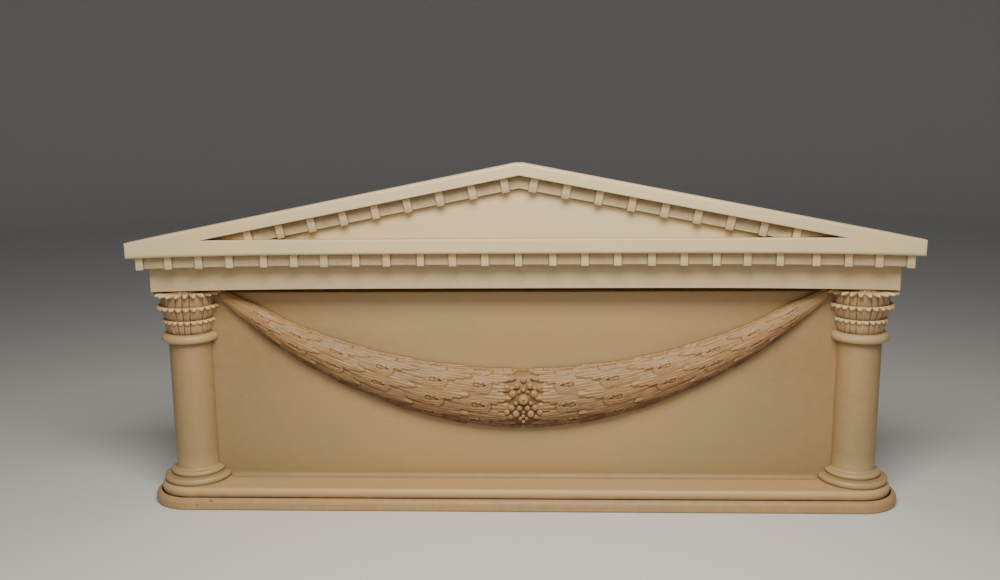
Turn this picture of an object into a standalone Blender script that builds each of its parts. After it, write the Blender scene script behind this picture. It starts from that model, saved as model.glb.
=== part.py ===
"""Door pediment with half-round columns, leaf capitals and a leaf swag, in metres with Z up.

Every length is measured from the wall plane, the ground line or the middle of the front.
"""

import math

import bmesh
import bpy
from mathutils import Vector

# Whole piece
WIDTH = 1.300
DEPTH = 0.096
GAP = 0.0003
WALL_Y = DEPTH / 2

# How far the front of each part stands from the wall
PANEL_OUT = 0.020
FRIEZE_OUT = 0.060
TYMPANUM_OUT = 0.072
DENTIL_STRIP_OUT = 0.082
DENTIL_OUT = 0.086

# Heights of the stacked parts, and of the joints between them
LOWER_STEP_HIGH = 0.0198
UPPER_STEP_HIGH = 0.0158
COLUMN_HIGH = 0.2646
CAPITAL_HIGH = 0.0802
FRIEZE_HIGH = 0.0432
DENTIL_STRIP_HIGH = 0.0194
CORNICE_HIGH = 0.0240
UPPER_STEP_TOP = LOWER_STEP_HIGH + UPPER_STEP_HIGH
COLUMN_TOP = UPPER_STEP_TOP + COLUMN_HIGH
FRIEZE_BOTTOM = COLUMN_TOP + CAPITAL_HIGH
DENTIL_STRIP_BOTTOM = FRIEZE_BOTTOM + FRIEZE_HIGH
CORNICE_BOTTOM = DENTIL_STRIP_BOTTOM + DENTIL_STRIP_HIGH
CORNICE_TOP = CORNICE_BOTTOM + CORNICE_HIGH

# Half widths, each set in from the ends of the cornice
HALF_WIDTH = WIDTH / 2
DENTIL_STRIP_IN = 0.0138
FRIEZE_IN = 0.0261
PANEL_IN = 0.0440
COLUMN_IN = 0.0751
DENTIL_STRIP_HALF = HALF_WIDTH - DENTIL_STRIP_IN
FRIEZE_HALF = HALF_WIDTH - FRIEZE_IN
PANEL_HALF = HALF_WIDTH - PANEL_IN

# Pediment: how far it rises over the bottom of the cornice at its ends and at its peak
END_RISE = 0.0200
PEAK_RISE = 0.1475
RAKE_BAND = 0.0212
APEX_TOP = CORNICE_BOTTOM + PEAK_RISE
APEX_INNER = APEX_TOP - RAKE_BAND
RAKE_SLOPE = (PEAK_RISE - END_RISE) / HALF_WIDTH
RAKE_STRIP_DROP = 0.0211
CORE_SETBACK = 0.0125
OUTER_ROUND = 0.0050
INNER_ROUND = 0.0020
PEAK_FLAT = 0.012

# Columns, each a half-round turning on the panel
COLUMN_X = HALF_WIDTH - COLUMN_IN
LOWER_STEP_RADIUS = 0.0745
UPPER_STEP_RADIUS = 0.0630
LOWER_RING_RADIUS = 0.0585
UPPER_RING_RADIUS = 0.0468
SHAFT_RADIUS = 0.0365
COLLAR_RADIUS = 0.0485
LOWER_RING_HIGH = 0.0128
UPPER_RING_HIGH = 0.0126
COLLAR_HIGH = 0.0162
COVE_RADIUS = 0.008

# Capital leaves, tier by tier: tip radius, tip height and the radius of the hollow above the tip,
# each as a share of the full radius or of the capital's height
CAPITAL_FOOT_RADIUS = 0.0393
CAPITAL_RADIUS = 0.0600
LEAVES_PER_HALF = 12
LEAF_COLUMNS = 4
TIERS = (
    (0.750, 0.309, 0.687),
    (0.892, 0.615, 0.797),
    (1.000, 0.908, 0.920),
)

# Dentil blocks
DENTIL_WIDE = 0.013
DENTIL_DROP = 0.0024
# How far each block was set by hand from its even place, from left to right
DENTIL_SHIFTS = (
    0.0, -0.0042, -0.0054, -0.0065, -0.0019, -0.0041, -0.0066, -0.0062, -0.0084,
    -0.0049, -0.0047, -0.0042, -0.0015, 0.0016, 0.0014, 0.0022, 0.0049, 0.0043,
    0.0042, 0.0013, 0.0010, 0.0065, 0.0057, 0.0016, 0.0,
)
RAKE_DENTIL_FIRST = 0.0252
RAKE_DENTIL_LAST_IN = 0.0741
RAKE_DENTILS = 9

# Swag: how far it reaches to each side and how far it hangs
SWAG_FROM_COLUMN = 0.0609
SWAG_HALF = COLUMN_X - SWAG_FROM_COLUMN
SWAG_DROP = 0.2496
# Shares of that reach and drop on its lower edge, then on its upper edge, from the end to the middle
SWAG_STATIONS = (
    (1.0000, 0.1086, 1.0000, 0.0224),
    (0.9144, 0.2648, 0.9027, 0.1206),
    (0.7685, 0.4912, 0.7490, 0.2889),
    (0.5837, 0.7055, 0.5370, 0.4451),
    (0.3696, 0.8818, 0.3385, 0.5413),
    (0.1751, 0.9720, 0.1595, 0.5873),
    (0.0000, 1.0000, 0.0000, 0.6014),
)
SWAG_END_THICK = 0.012
SWAG_MID_THICK = 0.027
SWAG_EDGE_THICK = 0.0030

# Leaves on the swag: three rows round its section, and in each row the places of the tips as shares
# of the way from the end of the swag to its middle
LEAF_ROWS = 3
LEAF_ROW_TURN = math.radians(43.5)
FIRST_ROW_TURN = math.radians(33.25)
LEAF_TIPS = (0.963, 0.823, 0.663, 0.523, 0.401, 0.289, 0.175)
# Shares of a leaf's length where the band gets a row of points: tip, shoulder, waist and foot
LEAF_CUTS = (0.0, 0.12, 0.5, 0.97)
LEAF_TIP_SHARE = 0.12
LEAF_SINK = 0.55
LEAF_RELIEF = 0.0052
LEAF_BED = 0.0020

# Berries: x from the middle of the cluster, height over the foot of the swag and radius, as shares
# of the cluster's height, and each off-centre one on both sides
CLUSTER_HIGH = 0.0874
CLUSTER_X = 0.0045
SMALL_BERRY = 0.0053
BERRIES = (
    (0.000, 1.000, 0.065),
    (0.129, 0.891, 0.064),
    (0.320, 0.864, 0.063),
    (0.207, 0.743, 0.074),
    (0.000, 0.815, 0.046),
    (0.087, 0.769, 0.035),
    (0.000, 0.633, 0.110),
    (0.145, 0.550, 0.042),
    (0.228, 0.459, 0.059),
    (0.072, 0.454, 0.057),
    (0.320, 0.363, 0.057),
    (0.146, 0.334, 0.071),
    (0.000, 0.363, 0.035),
    (0.000, 0.276, 0.040),
    (0.064, 0.221, 0.037),
    (0.000, 0.152, 0.040),
)

PAINT = (0.72, 0.66, 0.54, 1.0)


# Shared helpers


def clear_scene():
    for thing in list(bpy.data.objects):
        bpy.data.objects.remove(thing, do_unlink=True)


def out(distance):
    """The y of a plane that stands this far from the wall."""
    return WALL_Y - distance


def material_for(name):
    made = bpy.data.materials.new(name + "_paint")
    made.use_nodes = True
    shader = made.node_tree.nodes["Principled BSDF"]
    shader.inputs["Base Color"].default_value = PAINT
    shader.inputs["Roughness"].default_value = 0.5
    return made


def add_object(name, bm, smooth_angle=None):
    """Turns a closed bmesh into an object of the scene, its faces outward."""
    bmesh.ops.recalc_face_normals(bm, faces=bm.faces)
    mesh = bpy.data.meshes.new(name)
    bm.to_mesh(mesh)
    bm.free()
    made = bpy.data.objects.new(name, mesh)
    bpy.context.scene.collection.objects.link(made)
    mesh.materials.append(material_for(name))
    if smooth_angle is not None:
        mesh.shade_smooth()
        mesh.set_sharp_from_angle(angle=math.radians(smooth_angle))
    return made


def box(name, x0, x1, out0, out1, z0, z1):
    """A plain board between two distances from the wall."""
    bm = bmesh.new()
    extrude_outline(bm, [(x0, z0), (x1, z0), (x1, z1), (x0, z1)], out0, out1)
    return add_object(name, bm)


def extrude_outline(bm, outline, out0, out1):
    """A prism whose front and back are the same outline in x and z."""
    back = [bm.verts.new((x, out(out0), z)) for x, z in outline]
    front = [bm.verts.new((x, out(out1), z)) for x, z in outline]
    bm.faces.new(back)
    bm.faces.new(front)
    join_loops(bm, back, front)


def join_loops(bm, first, second):
    count = len(first)
    for i in range(count):
        j = (i + 1) % count
        bm.faces.new((first[i], first[j], second[j], second[i]))


def half_round(radius, z0, height, steps):
    """The points of a half-round moulding whose fullest radius is given."""
    points = []
    bulge = height / 2
    for i in range(steps + 1):
        turn = math.pi * i / steps - math.pi / 2
        points.append((radius - bulge + bulge * math.cos(turn), z0 + bulge + bulge * math.sin(turn)))
    return points


# Stepped plinth, its front corners round about the columns


def stepped_board(name, radius, z0, z1, profile, arc_steps):
    """A board with a moulded edge: the profile lists how far each row is set in, and its height."""
    bm = bmesh.new()
    axis_y = out(PANEL_OUT)
    rows = []
    for inset, z in profile:
        reach = radius - inset
        points = [(-COLUMN_X - reach, WALL_Y)]
        for i in range(arc_steps + 1):
            turn = math.pi + math.pi / 2 * i / arc_steps
            points.append((-COLUMN_X + reach * math.cos(turn), axis_y + reach * math.sin(turn)))
        for i in range(arc_steps + 1):
            turn = math.pi * 1.5 + math.pi / 2 * i / arc_steps
            points.append((COLUMN_X + reach * math.cos(turn), axis_y + reach * math.sin(turn)))
        points.append((COLUMN_X + reach, WALL_Y))
        rows.append([bm.verts.new((x, y, z)) for x, y in points])
    bm.faces.new(rows[0])
    bm.faces.new(rows[-1])
    for low, high in zip(rows, rows[1:]):
        join_loops(bm, low, high)
    return add_object(name, bm, 40)


def round_edge(z0, z1, bottom_round, top_round, steps):
    """Insets and heights of a board's edge with both corners rounded."""
    points = []
    for i in range(steps + 1):
        turn = math.pi / 2 * i / steps
        points.append((bottom_round * (1 - math.sin(turn)), z0 + bottom_round * (1 - math.cos(turn))))
    for i in range(steps + 1):
        turn = math.pi / 2 * i / steps
        points.append((top_round * (1 - math.cos(turn)), z1 - top_round * (1 - math.sin(turn))))
    return points


def build_plinth():
    low = round_edge(0.0, LOWER_STEP_HIGH, 0.004, 0.009, 3)
    stepped_board("plinth_lower", LOWER_STEP_RADIUS, 0.0, LOWER_STEP_HIGH, low, 9)
    z0 = LOWER_STEP_HIGH + GAP
    high = round_edge(z0, UPPER_STEP_TOP, 0.006, 0.008, 3)
    stepped_board("plinth_upper", UPPER_STEP_RADIUS, z0, UPPER_STEP_TOP, high, 9)


# Panel behind the swag, with a soft cove where it meets the shelf


def build_panel():
    bm = bmesh.new()
    z0 = UPPER_STEP_TOP + GAP
    z1 = FRIEZE_BOTTOM - GAP
    cove_half = COLUMN_X - LOWER_RING_RADIUS - 2 * GAP
    plain = [(PANEL_OUT, z0), (PANEL_OUT, z0 + COVE_RADIUS), (PANEL_OUT, z1)]
    cove = []
    for i in range(1, 5):
        turn = math.pi / 2 * i / 5
        cove.append((PANEL_OUT + COVE_RADIUS * (1 - math.cos(turn)), z0 + COVE_RADIUS * (1 - math.sin(turn))))
    cove = [(PANEL_OUT, z0 + COVE_RADIUS)] + cove + [(PANEL_OUT + COVE_RADIUS, z0)]

    def column_of(x, points):
        return [bm.verts.new((x, out(d), z)) for d, z in points]

    left, left_cove = column_of(-PANEL_HALF, plain), column_of(-cove_half, cove)
    right, right_cove = column_of(PANEL_HALF, plain), column_of(cove_half, cove)
    back = [bm.verts.new((x, WALL_Y, z)) for x, z in ((-PANEL_HALF, z0), (PANEL_HALF, z0), (PANEL_HALF, z1), (-PANEL_HALF, z1))]
    left_foot = bm.verts.new((-cove_half, out(PANEL_OUT), z0))
    right_foot = bm.verts.new((cove_half, out(PANEL_OUT), z0))
    # The front above the cove, and the two plain strips beside it
    bm.faces.new((left[1], left_cove[0], right_cove[0], right[1], right[2], left[2]))
    bm.faces.new((left[0], left_foot, left_cove[0], left[1]))
    bm.faces.new((right_foot, right[0], right[1], right_cove[0]))
    # The cove and its two ends
    for i in range(len(cove) - 1):
        bm.faces.new((left_cove[i], left_cove[i + 1], right_cove[i + 1], right_cove[i]))
    bm.faces.new([left_foot] + left_cove[::-1])
    bm.faces.new([right_foot] + right_cove)
    # Foot, top, ends and back
    bm.faces.new((left[0], left_foot, left_cove[-1], right_cove[-1], right_foot, right[0], back[1], back[0]))
    bm.faces.new((left[2], right[2], back[2], back[3]))
    bm.faces.new((left[0], left[1], left[2], back[3], back[0]))
    bm.faces.new((right[0], right[1], right[2], back[2], back[1]))
    bm.faces.new(back)
    add_object("back_panel", bm)


# Half-round columns, each one turning from the base rings to the collar


def half_turning(name, x, rows, segments, smooth_angle):
    """A half-round solid: rows hold either one radius or a radius for each column, and a height."""
    bm = bmesh.new()
    y = out(PANEL_OUT) - GAP
    loops = []
    for radii, heights in rows:
        loop = []
        for i in range(segments + 1):
            turn = math.pi + math.pi * i / segments
            r = radii[i] if isinstance(radii, list) else radii
            z = heights[i] if isinstance(heights, list) else heights
            loop.append(bm.verts.new((x + r * math.cos(turn), y + r * math.sin(turn), z)))
        loops.append(loop)
    for low, high in zip(loops, loops[1:]):
        for i in range(segments):
            bm.faces.new((low[i], low[i + 1], high[i + 1], high[i]))
    bm.faces.new(loops[0])
    bm.faces.new(loops[-1])
    bm.faces.new([loop[0] for loop in loops] + [loop[-1] for loop in reversed(loops)])
    return add_object(name, bm, smooth_angle)


def build_columns():
    z = UPPER_STEP_TOP + GAP
    rows = [(LOWER_RING_RADIUS - LOWER_RING_HIGH / 2, z)]
    rows += half_round(LOWER_RING_RADIUS, z, LOWER_RING_HIGH - GAP, 5)[1:-1]
    ring_joint = UPPER_STEP_TOP + LOWER_RING_HIGH
    rows += [(UPPER_RING_RADIUS - UPPER_RING_HIGH / 2 + 0.0015, ring_joint)]
    rows += half_round(UPPER_RING_RADIUS, ring_joint, UPPER_RING_HIGH, 5)[1:-1]
    rows += [(SHAFT_RADIUS, ring_joint + UPPER_RING_HIGH)]
    collar_foot = COLUMN_TOP - COLLAR_HIGH
    rows += [(SHAFT_RADIUS, collar_foot)]
    rows += half_round(COLLAR_RADIUS, collar_foot, COLLAR_HIGH, 5)
    for side, x in (("left", -COLUMN_X), ("right", COLUMN_X)):
        half_turning("column_" + side, x, rows, 16, 35)


# Capitals with three tiers of upright leaves whose tips curl out


def build_capitals():
    segments = LEAVES_PER_HALF * LEAF_COLUMNS
    across = [abs((i % LEAF_COLUMNS) / (LEAF_COLUMNS / 2) - 1) for i in range(segments + 1)]

    def leafy(inner, outer, z, dip):
        """Full at the middle of each leaf and hollow between two leaves."""
        fullness = [1 - a * a for a in across]
        radii = [inner + (outer - inner) * f for f in fullness]
        return radii, [z - dip * (1 - f) for f in fullness]

    z0 = COLUMN_TOP + GAP
    rows = [leafy(CAPITAL_FOOT_RADIUS - 0.001, CAPITAL_FOOT_RADIUS + 0.0005, z0, 0)]
    hollow = CAPITAL_FOOT_RADIUS
    for tip_share, rise_share, hollow_share in TIERS:
        tip_radius = CAPITAL_RADIUS * tip_share
        hollow_above = CAPITAL_RADIUS * hollow_share
        tip_z = COLUMN_TOP + CAPITAL_HIGH * rise_share
        rise = tip_z - z0
        rows.append(leafy(hollow, hollow + 0.0018, z0 + 0.55 * rise, 0))
        rows.append(leafy(hollow + 0.001, tip_radius - 0.0014, tip_z - 0.0052, 0.0004))
        rows.append(leafy(hollow + 0.0018, tip_radius, tip_z - 0.0016, 0.0012))
        rows.append(leafy(hollow_above - 0.0010, tip_radius - 0.0026, tip_z, 0.0016))
        rows.append(leafy(hollow_above - 0.0012, hollow_above, tip_z + 0.0006, 0.0004))
        hollow = hollow_above - 0.0006
        z0 = tip_z
    rows.append(leafy(hollow - 0.0010, hollow + 0.0005, FRIEZE_BOTTOM - GAP, 0))
    for side, x in (("left", -COLUMN_X), ("right", COLUMN_X)):
        half_turning("capital_" + side, x, rows, segments, 50)


# Frieze and the strip with its row of dentil blocks


def build_entablature():
    box("frieze", -FRIEZE_HALF, FRIEZE_HALF, 0, FRIEZE_OUT, FRIEZE_BOTTOM, DENTIL_STRIP_BOTTOM - GAP)
    top = CORNICE_BOTTOM - GAP
    box("dentil_strip", -DENTIL_STRIP_HALF, DENTIL_STRIP_HALF, 0, DENTIL_STRIP_OUT, DENTIL_STRIP_BOTTOM, top)
    half = DENTIL_WIDE / 2
    low = DENTIL_STRIP_BOTTOM - DENTIL_DROP
    first = half - DENTIL_STRIP_HALF
    pitch = -2 * first / (len(DENTIL_SHIFTS) - 1)
    for i, shift in enumerate(DENTIL_SHIFTS):
        x = first + pitch * i + shift
        box("dentil_%02d" % (i + 1), x - half, x + half, DENTIL_STRIP_OUT + GAP, DENTIL_OUT, low, top)


# Pediment frame with a triangular opening, over a gabled core


def rake_z(apex, x):
    return apex - RAKE_SLOPE * abs(x)


def shift_loop(loop, distance):
    """Moves every side of a convex outline, listed anticlockwise in x and z, inward by a distance."""
    count = len(loop)
    moved = []
    for i in range(count):
        before, here, after = Vector(loop[i - 1]), Vector(loop[i]), Vector(loop[(i + 1) % count])
        first = (here - before).normalized()
        second = (after - here).normalized()
        normal_a = Vector((-first.y, first.x))
        normal_b = Vector((-second.y, second.x))
        bisector = (normal_a + normal_b).normalized()
        moved.append(tuple(here + bisector * (distance / bisector.dot(normal_a))))
    return moved


def frame_outline():
    half = HALF_WIDTH
    end_top = rake_z(APEX_TOP, half)
    peak = rake_z(APEX_TOP, PEAK_FLAT)
    crown = (peak + APEX_TOP) / 2
    return [(-half, CORNICE_BOTTOM), (half, CORNICE_BOTTOM), (half, end_top), (PEAK_FLAT, peak),
            (0.0, crown), (-PEAK_FLAT, peak), (-half, end_top)]


def opening_outline():
    corner = (APEX_INNER - CORNICE_TOP) / RAKE_SLOPE
    return [(-corner, CORNICE_TOP), (corner, CORNICE_TOP), (0.0, APEX_INNER)]


def round_rows(radius, steps):
    """How far the edge is set in, and how far it lies behind the front, along a quarter round."""
    rows = []
    for i in range(steps + 1):
        turn = math.pi / 2 * i / steps
        rows.append((radius * (1 - math.cos(turn)), radius * (1 - math.sin(turn))))
    return rows


def build_frame():
    bm = bmesh.new()
    outer, inner = frame_outline(), opening_outline()

    def ring(loop, y):
        return [bm.verts.new((x, y, z)) for x, z in loop]

    back_y, front_y = out(TYMPANUM_OUT), out(DEPTH)
    outer_rows = [ring(outer, back_y)]
    for inset, behind in round_rows(OUTER_ROUND, 3):
        outer_rows.append(ring(shift_loop(outer, inset), front_y + behind))
    inner_rows = [ring(inner, back_y)]
    for inset, behind in round_rows(INNER_ROUND, 2):
        inner_rows.append(ring(shift_loop(inner, -inset), front_y + behind))
    for rows in (outer_rows, inner_rows):
        for first, second in zip(rows, rows[1:]):
            join_loops(bm, first, second)
    for o, i in ((outer_rows[0], inner_rows[0]), (outer_rows[-1], inner_rows[-1])):
        bm.faces.new((o[0], o[1], i[1], i[0]))
        bm.faces.new((o[1], o[2], i[1]))
        bm.faces.new((o[2], o[3], i[2], i[1]))
        bm.faces.new((o[3], o[4], o[5], i[2]))
        bm.faces.new((o[5], o[6], i[0], i[2]))
        bm.faces.new((o[6], o[0], i[0]))
    add_object("pediment_frame", bm, 35)


def build_tympanum():
    bm = bmesh.new()
    half = HALF_WIDTH - CORE_SETBACK
    apex = APEX_TOP - CORE_SETBACK
    end_top = rake_z(apex, half)
    outline = [(-half, CORNICE_BOTTOM), (half, CORNICE_BOTTOM), (half, end_top), (0.0, apex), (-half, end_top)]
    extrude_outline(bm, outline, 0, TYMPANUM_OUT - GAP)
    add_object("tympanum", bm)


def build_rake_strip():
    bm = bmesh.new()
    top = APEX_INNER - 2 * GAP
    bottom = APEX_INNER - RAKE_STRIP_DROP
    low = CORNICE_TOP + GAP
    wide = (top - low) / RAKE_SLOPE - 0.004
    narrow = (bottom - low) / RAKE_SLOPE
    outline = [(-wide, low), (-narrow, low), (0.0, bottom), (narrow, low), (wide, low), (wide, rake_z(top, wide)),
               (0.0, top), (-wide, rake_z(top, wide))]
    extrude_outline(bm, outline, TYMPANUM_OUT + GAP, DENTIL_STRIP_OUT)
    add_object("raking_strip", bm)


def build_rake_dentils():
    angle = math.atan(RAKE_SLOPE)
    along = Vector((math.cos(angle), -math.sin(angle)))
    down = Vector((-math.sin(angle), -math.cos(angle)))
    floor = CORNICE_TOP + GAP
    last = (APEX_INNER - CORNICE_TOP) / RAKE_SLOPE - RAKE_DENTIL_LAST_IN
    pitch = (last - RAKE_DENTIL_FIRST) / (RAKE_DENTILS - 1)
    for i in range(1, RAKE_DENTILS + 1):
        x = RAKE_DENTIL_FIRST + pitch * (i - 1)
        start = Vector((x, rake_z(APEX_INNER - 2 * GAP, x)))
        long_side = (RAKE_STRIP_DROP * math.cos(angle)) + DENTIL_DROP
        shift = down * long_side
        corners = [start - along * DENTIL_WIDE / 2, start + along * DENTIL_WIDE / 2]
        lower = [corner + shift for corner in reversed(corners)]
        lower = [Vector((corner.x, max(corner.y, floor))) for corner in lower]
        outline = [tuple(corner) for corner in corners + lower]
        for side, sign in (("left", -1), ("right", 1)):
            bm = bmesh.new()
            points = [(sign * px, pz) for px, pz in outline]
            extrude_outline(bm, points, DENTIL_STRIP_OUT + GAP, DENTIL_OUT)
            add_object("raking_dentil_%s_%d" % (side, i), bm)


# Leaf swag: a bulging band between two edge curves, with rows of overlapping leaves


def smooth_between(stations, t):
    """Catmull-Rom reading of the stations, t running from 0 at the first to 1 at the last."""
    count = len(stations) - 1
    place = min(max(t * count, 0.0), count - 1e-9)
    i = int(place)
    f = place - i
    p0 = stations[max(i - 1, 0)]
    p1, p2 = stations[i], stations[i + 1]
    if i + 2 <= count:
        p3 = stations[i + 2]
    else:
        # Past the middle the band goes on as its own mirror image
        before = stations[count - 1]
        p3 = (-before[0], before[1], -before[2], before[3])
    values = []
    for a, b, c, d in zip(p0, p1, p2, p3):
        values.append(0.5 * (2 * b + (c - a) * f + (2 * a - 5 * b + 4 * c - d) * f * f + (3 * b - a - 3 * c + d) * f ** 3))
    return values


def swag_point(t, v):
    """x and z on the band: t runs from the left end to the right end, v from the lower to the upper edge."""
    side = -1 if t < 0.5 else 1
    low_x, low_z, up_x, up_z = smooth_between(SWAG_STATIONS, 1 - abs(2 * t - 1))
    reach = low_x + (up_x - low_x) * v
    drop = low_z + (up_z - low_z) * v
    return side * SWAG_HALF * reach, FRIEZE_BOTTOM - GAP - SWAG_DROP * drop


def swag_body(along, turn):
    """Thickness of the plain band: turn runs round its section from the lower to the upper edge."""
    thick = SWAG_END_THICK + (SWAG_MID_THICK - SWAG_END_THICK) * math.sin(math.pi / 2 * along)
    return SWAG_EDGE_THICK + (thick - SWAG_EDGE_THICK) * math.sin(turn)


def leaf_height(along, turn):
    """Height of the leaves, from 0 in the furrow between two rows to 1 at a tip."""
    row = (turn - FIRST_ROW_TURN) / LEAF_ROW_TURN
    if along >= LEAF_TIPS[0] or not 0 < row < LEAF_ROWS:
        return 0.0
    feet = LEAF_TIPS[1:] + (0.0,)
    tip, foot = next(pair for pair in zip(LEAF_TIPS, feet) if along >= pair[1])
    step = (tip - along) / (tip - foot)
    side = abs(2 * (row - math.floor(row)) - 1)
    reach = side / max(min(step / LEAF_TIP_SHARE, 1.0), 1e-6)
    return (1 - LEAF_SINK * step) * math.sqrt(max(1 - reach * reach, 0.0))


def swag_height(along, turn):
    """Thickness with the leaves on it, which grow smaller towards the ends."""
    fade = min(0.3 + along * 2, 1.0) * math.sin(turn)
    return swag_body(along, turn) + fade * (LEAF_RELIEF * leaf_height(along, turn) - LEAF_BED)


def swag_cuts():
    """Places from the end to the middle where the band gets a row of points."""
    places = [0.0, 0.05, 0.11, 1.0]
    for tip, foot in zip(LEAF_TIPS, LEAF_TIPS[1:]):
        places += [tip - (tip - foot) * cut + 1e-9 * (cut > 0) - 1e-9 * (cut == 0) for cut in LEAF_CUTS]
    places += [LEAF_TIPS[-1] - 1e-9, LEAF_TIPS[-1] - 0.02, LEAF_TIPS[0] + 0.004]
    return sorted(places)


def build_swag():
    bm = bmesh.new()
    face_y = out(PANEL_OUT) - GAP
    half = swag_cuts()
    path = [along / 2 for along in half] + [1 - along / 2 for along in half[-2::-1]]
    turns = [0.0] + [FIRST_ROW_TURN + LEAF_ROW_TURN * k / 4 for k in range(LEAF_ROWS * 4 + 1)] + [math.pi]
    front, back_low, back_high = [], [], []
    for t in path:
        column = []
        for turn in turns:
            x, z = swag_point(t, 0.5 - 0.5 * math.cos(turn))
            column.append(bm.verts.new((x, face_y - swag_height(1 - abs(2 * t - 1), turn), z)))
        front.append(column)
        back_low.append(bm.verts.new((column[0].co.x, face_y, column[0].co.z)))
        back_high.append(bm.verts.new((column[-1].co.x, face_y, column[-1].co.z)))
    for a, b in zip(front, front[1:]):
        for j in range(len(turns) - 1):
            bm.faces.new((a[j], b[j], b[j + 1], a[j + 1]))
    for i in range(len(path) - 1):
        bm.faces.new((front[i][0], front[i + 1][0], back_low[i + 1], back_low[i]))
        bm.faces.new((front[i][-1], front[i + 1][-1], back_high[i + 1], back_high[i]))
        bm.faces.new((back_low[i], back_low[i + 1], back_high[i + 1], back_high[i]))
    bm.faces.new(front[0] + [back_high[0], back_low[0]])
    bm.faces.new(front[-1] + [back_high[-1], back_low[-1]])
    swag = add_object("swag", bm, 30)
    berries = build_berries()
    union = swag.modifiers.new("berries", "BOOLEAN")
    union.operation = "UNION"
    union.solver = "EXACT"
    union.object = berries


def build_berries():
    """All the balls of the cluster in one hidden helper, each sunk a little into the band."""
    bm = bmesh.new()
    face_y = out(PANEL_OUT) - GAP
    low_z, high_z = swag_point(0.5, 0)[1], swag_point(0.5, 1)[1]
    for shares in BERRIES:
        x, rise, radius = (CLUSTER_HIGH * share for share in shares)
        turn = math.acos(1 - 2 * rise / (high_z - low_z))
        height = swag_height(1.0, turn) + 0.15 * radius
        for sign in ((1,) if x == 0 else (-1, 1)):
            fineness = 2 if radius > SMALL_BERRY else 1
            made = bmesh.ops.create_icosphere(bm, subdivisions=fineness, radius=radius)
            bmesh.ops.translate(bm, verts=made["verts"], vec=(CLUSTER_X + sign * x, face_y - height, low_z + rise))
    helper = add_object("berry_cluster_shape", bm)
    helper.hide_render = True
    helper.display_type = "WIRE"
    return helper


clear_scene()
build_plinth()
build_panel()
build_columns()
build_capitals()
build_entablature()
build_frame()
build_tympanum()
build_rake_strip()
build_rake_dentils()
build_swag()
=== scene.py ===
# %% [markdown]
# # A painted door pediment, dressed for its picture
# The real piece is a carved wooden overdoor under old cream paint: a stepped foot, two half-round
# columns with leaf capitals, a board with a swag of leaves, and a gable with rows of small blocks.
# The solid model already has its sizes. This lesson gives every part its finish and its fine carving.

# %% Load the solid model as a fixed frame
import math
import random

import bmesh
import bpy
import numpy as np
from mathutils import Matrix, Vector


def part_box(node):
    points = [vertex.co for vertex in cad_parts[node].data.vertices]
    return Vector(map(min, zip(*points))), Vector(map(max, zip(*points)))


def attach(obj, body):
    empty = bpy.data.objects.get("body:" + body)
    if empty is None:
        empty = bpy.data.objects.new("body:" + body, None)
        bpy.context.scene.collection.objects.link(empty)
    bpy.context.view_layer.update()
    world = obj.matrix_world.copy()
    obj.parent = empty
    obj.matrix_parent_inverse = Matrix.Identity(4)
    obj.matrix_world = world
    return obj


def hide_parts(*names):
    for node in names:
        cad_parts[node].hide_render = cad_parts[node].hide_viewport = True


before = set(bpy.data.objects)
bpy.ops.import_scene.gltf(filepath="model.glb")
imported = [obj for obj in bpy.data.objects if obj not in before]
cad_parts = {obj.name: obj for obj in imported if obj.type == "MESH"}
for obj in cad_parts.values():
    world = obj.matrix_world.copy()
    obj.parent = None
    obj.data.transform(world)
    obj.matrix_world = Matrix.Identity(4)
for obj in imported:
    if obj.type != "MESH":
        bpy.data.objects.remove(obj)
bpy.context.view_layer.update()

# %% [markdown]
# ## Where the picture was taken from
# A real camera stood a good step away, a little above the gable, and looked down at the piece. Its
# place was found by matching straight edges, so the same lens goes in the same spot here.

# %% Camera
CAMERA_SPOT = Vector((0.0288, -1.6107, 0.6653))
LOOK_DOWN, TURNED, TILTED = 0.1778, -0.0388, 0.0093
FOCAL_LENGTH, FILM_WIDTH = 35.14, 36.0
level = math.cos(LOOK_DOWN)
forward = Vector((math.sin(TURNED) * level, math.cos(TURNED) * level, -math.sin(LOOK_DOWN)))
level_right = Vector((math.cos(TURNED), -math.sin(TURNED), 0.0))
level_down = forward.cross(level_right)
right = level_right * math.cos(TILTED) + level_down * math.sin(TILTED)
down = level_down * math.cos(TILTED) - level_right * math.sin(TILTED)
lens = bpy.data.cameras.new("picture_camera")
lens.lens, lens.sensor_width = FOCAL_LENGTH, FILM_WIDTH
camera = bpy.data.objects.new("picture_camera", lens)
turn = Matrix((right, -down, -forward)).transposed().to_4x4()
camera.matrix_world = Matrix.Translation(CAMERA_SPOT) @ turn
bpy.context.scene.collection.objects.link(camera)
bpy.context.scene.camera = camera
print("lens", lens.lens, "mm, looking down", round(math.degrees(LOOK_DOWN), 1), "degrees")

# %% [markdown]
# ## Sizes shared by the pieces
# The wall plane, the panel in front of it and the columns' axes come back again and again. They are
# read from the solid model wherever a node has them, so that each new piece sits where the solid is.
# Pieces that touch stay a hair apart, by the width called AIR.

# %% Sizes
PANEL_THICK, AIR = 0.020, 0.0003
WALL_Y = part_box("back_panel")[1][1]
PANEL_Y = WALL_Y - PANEL_THICK
RING_RADIUS, SHAFT = 0.0585, 0.0365
COLUMN_X = (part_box("column_right")[0][0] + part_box("column_right")[1][0]) / 2
SHELF_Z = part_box("plinth_upper")[1][2]
FRIEZE_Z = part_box("frieze")[0][2]
CORNICE_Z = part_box("pediment_frame")[0][2]
FRONT_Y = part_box("pediment_frame")[0][1]
STRIP_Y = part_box("dentil_strip")[0][1]
ON_PANEL_Y, UNDER_FRIEZE_Z = PANEL_Y - AIR, FRIEZE_Z - AIR
print("columns stand at", round(COLUMN_X, 4), "m, shelf at", round(SHELF_Z, 4), "m")

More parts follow.
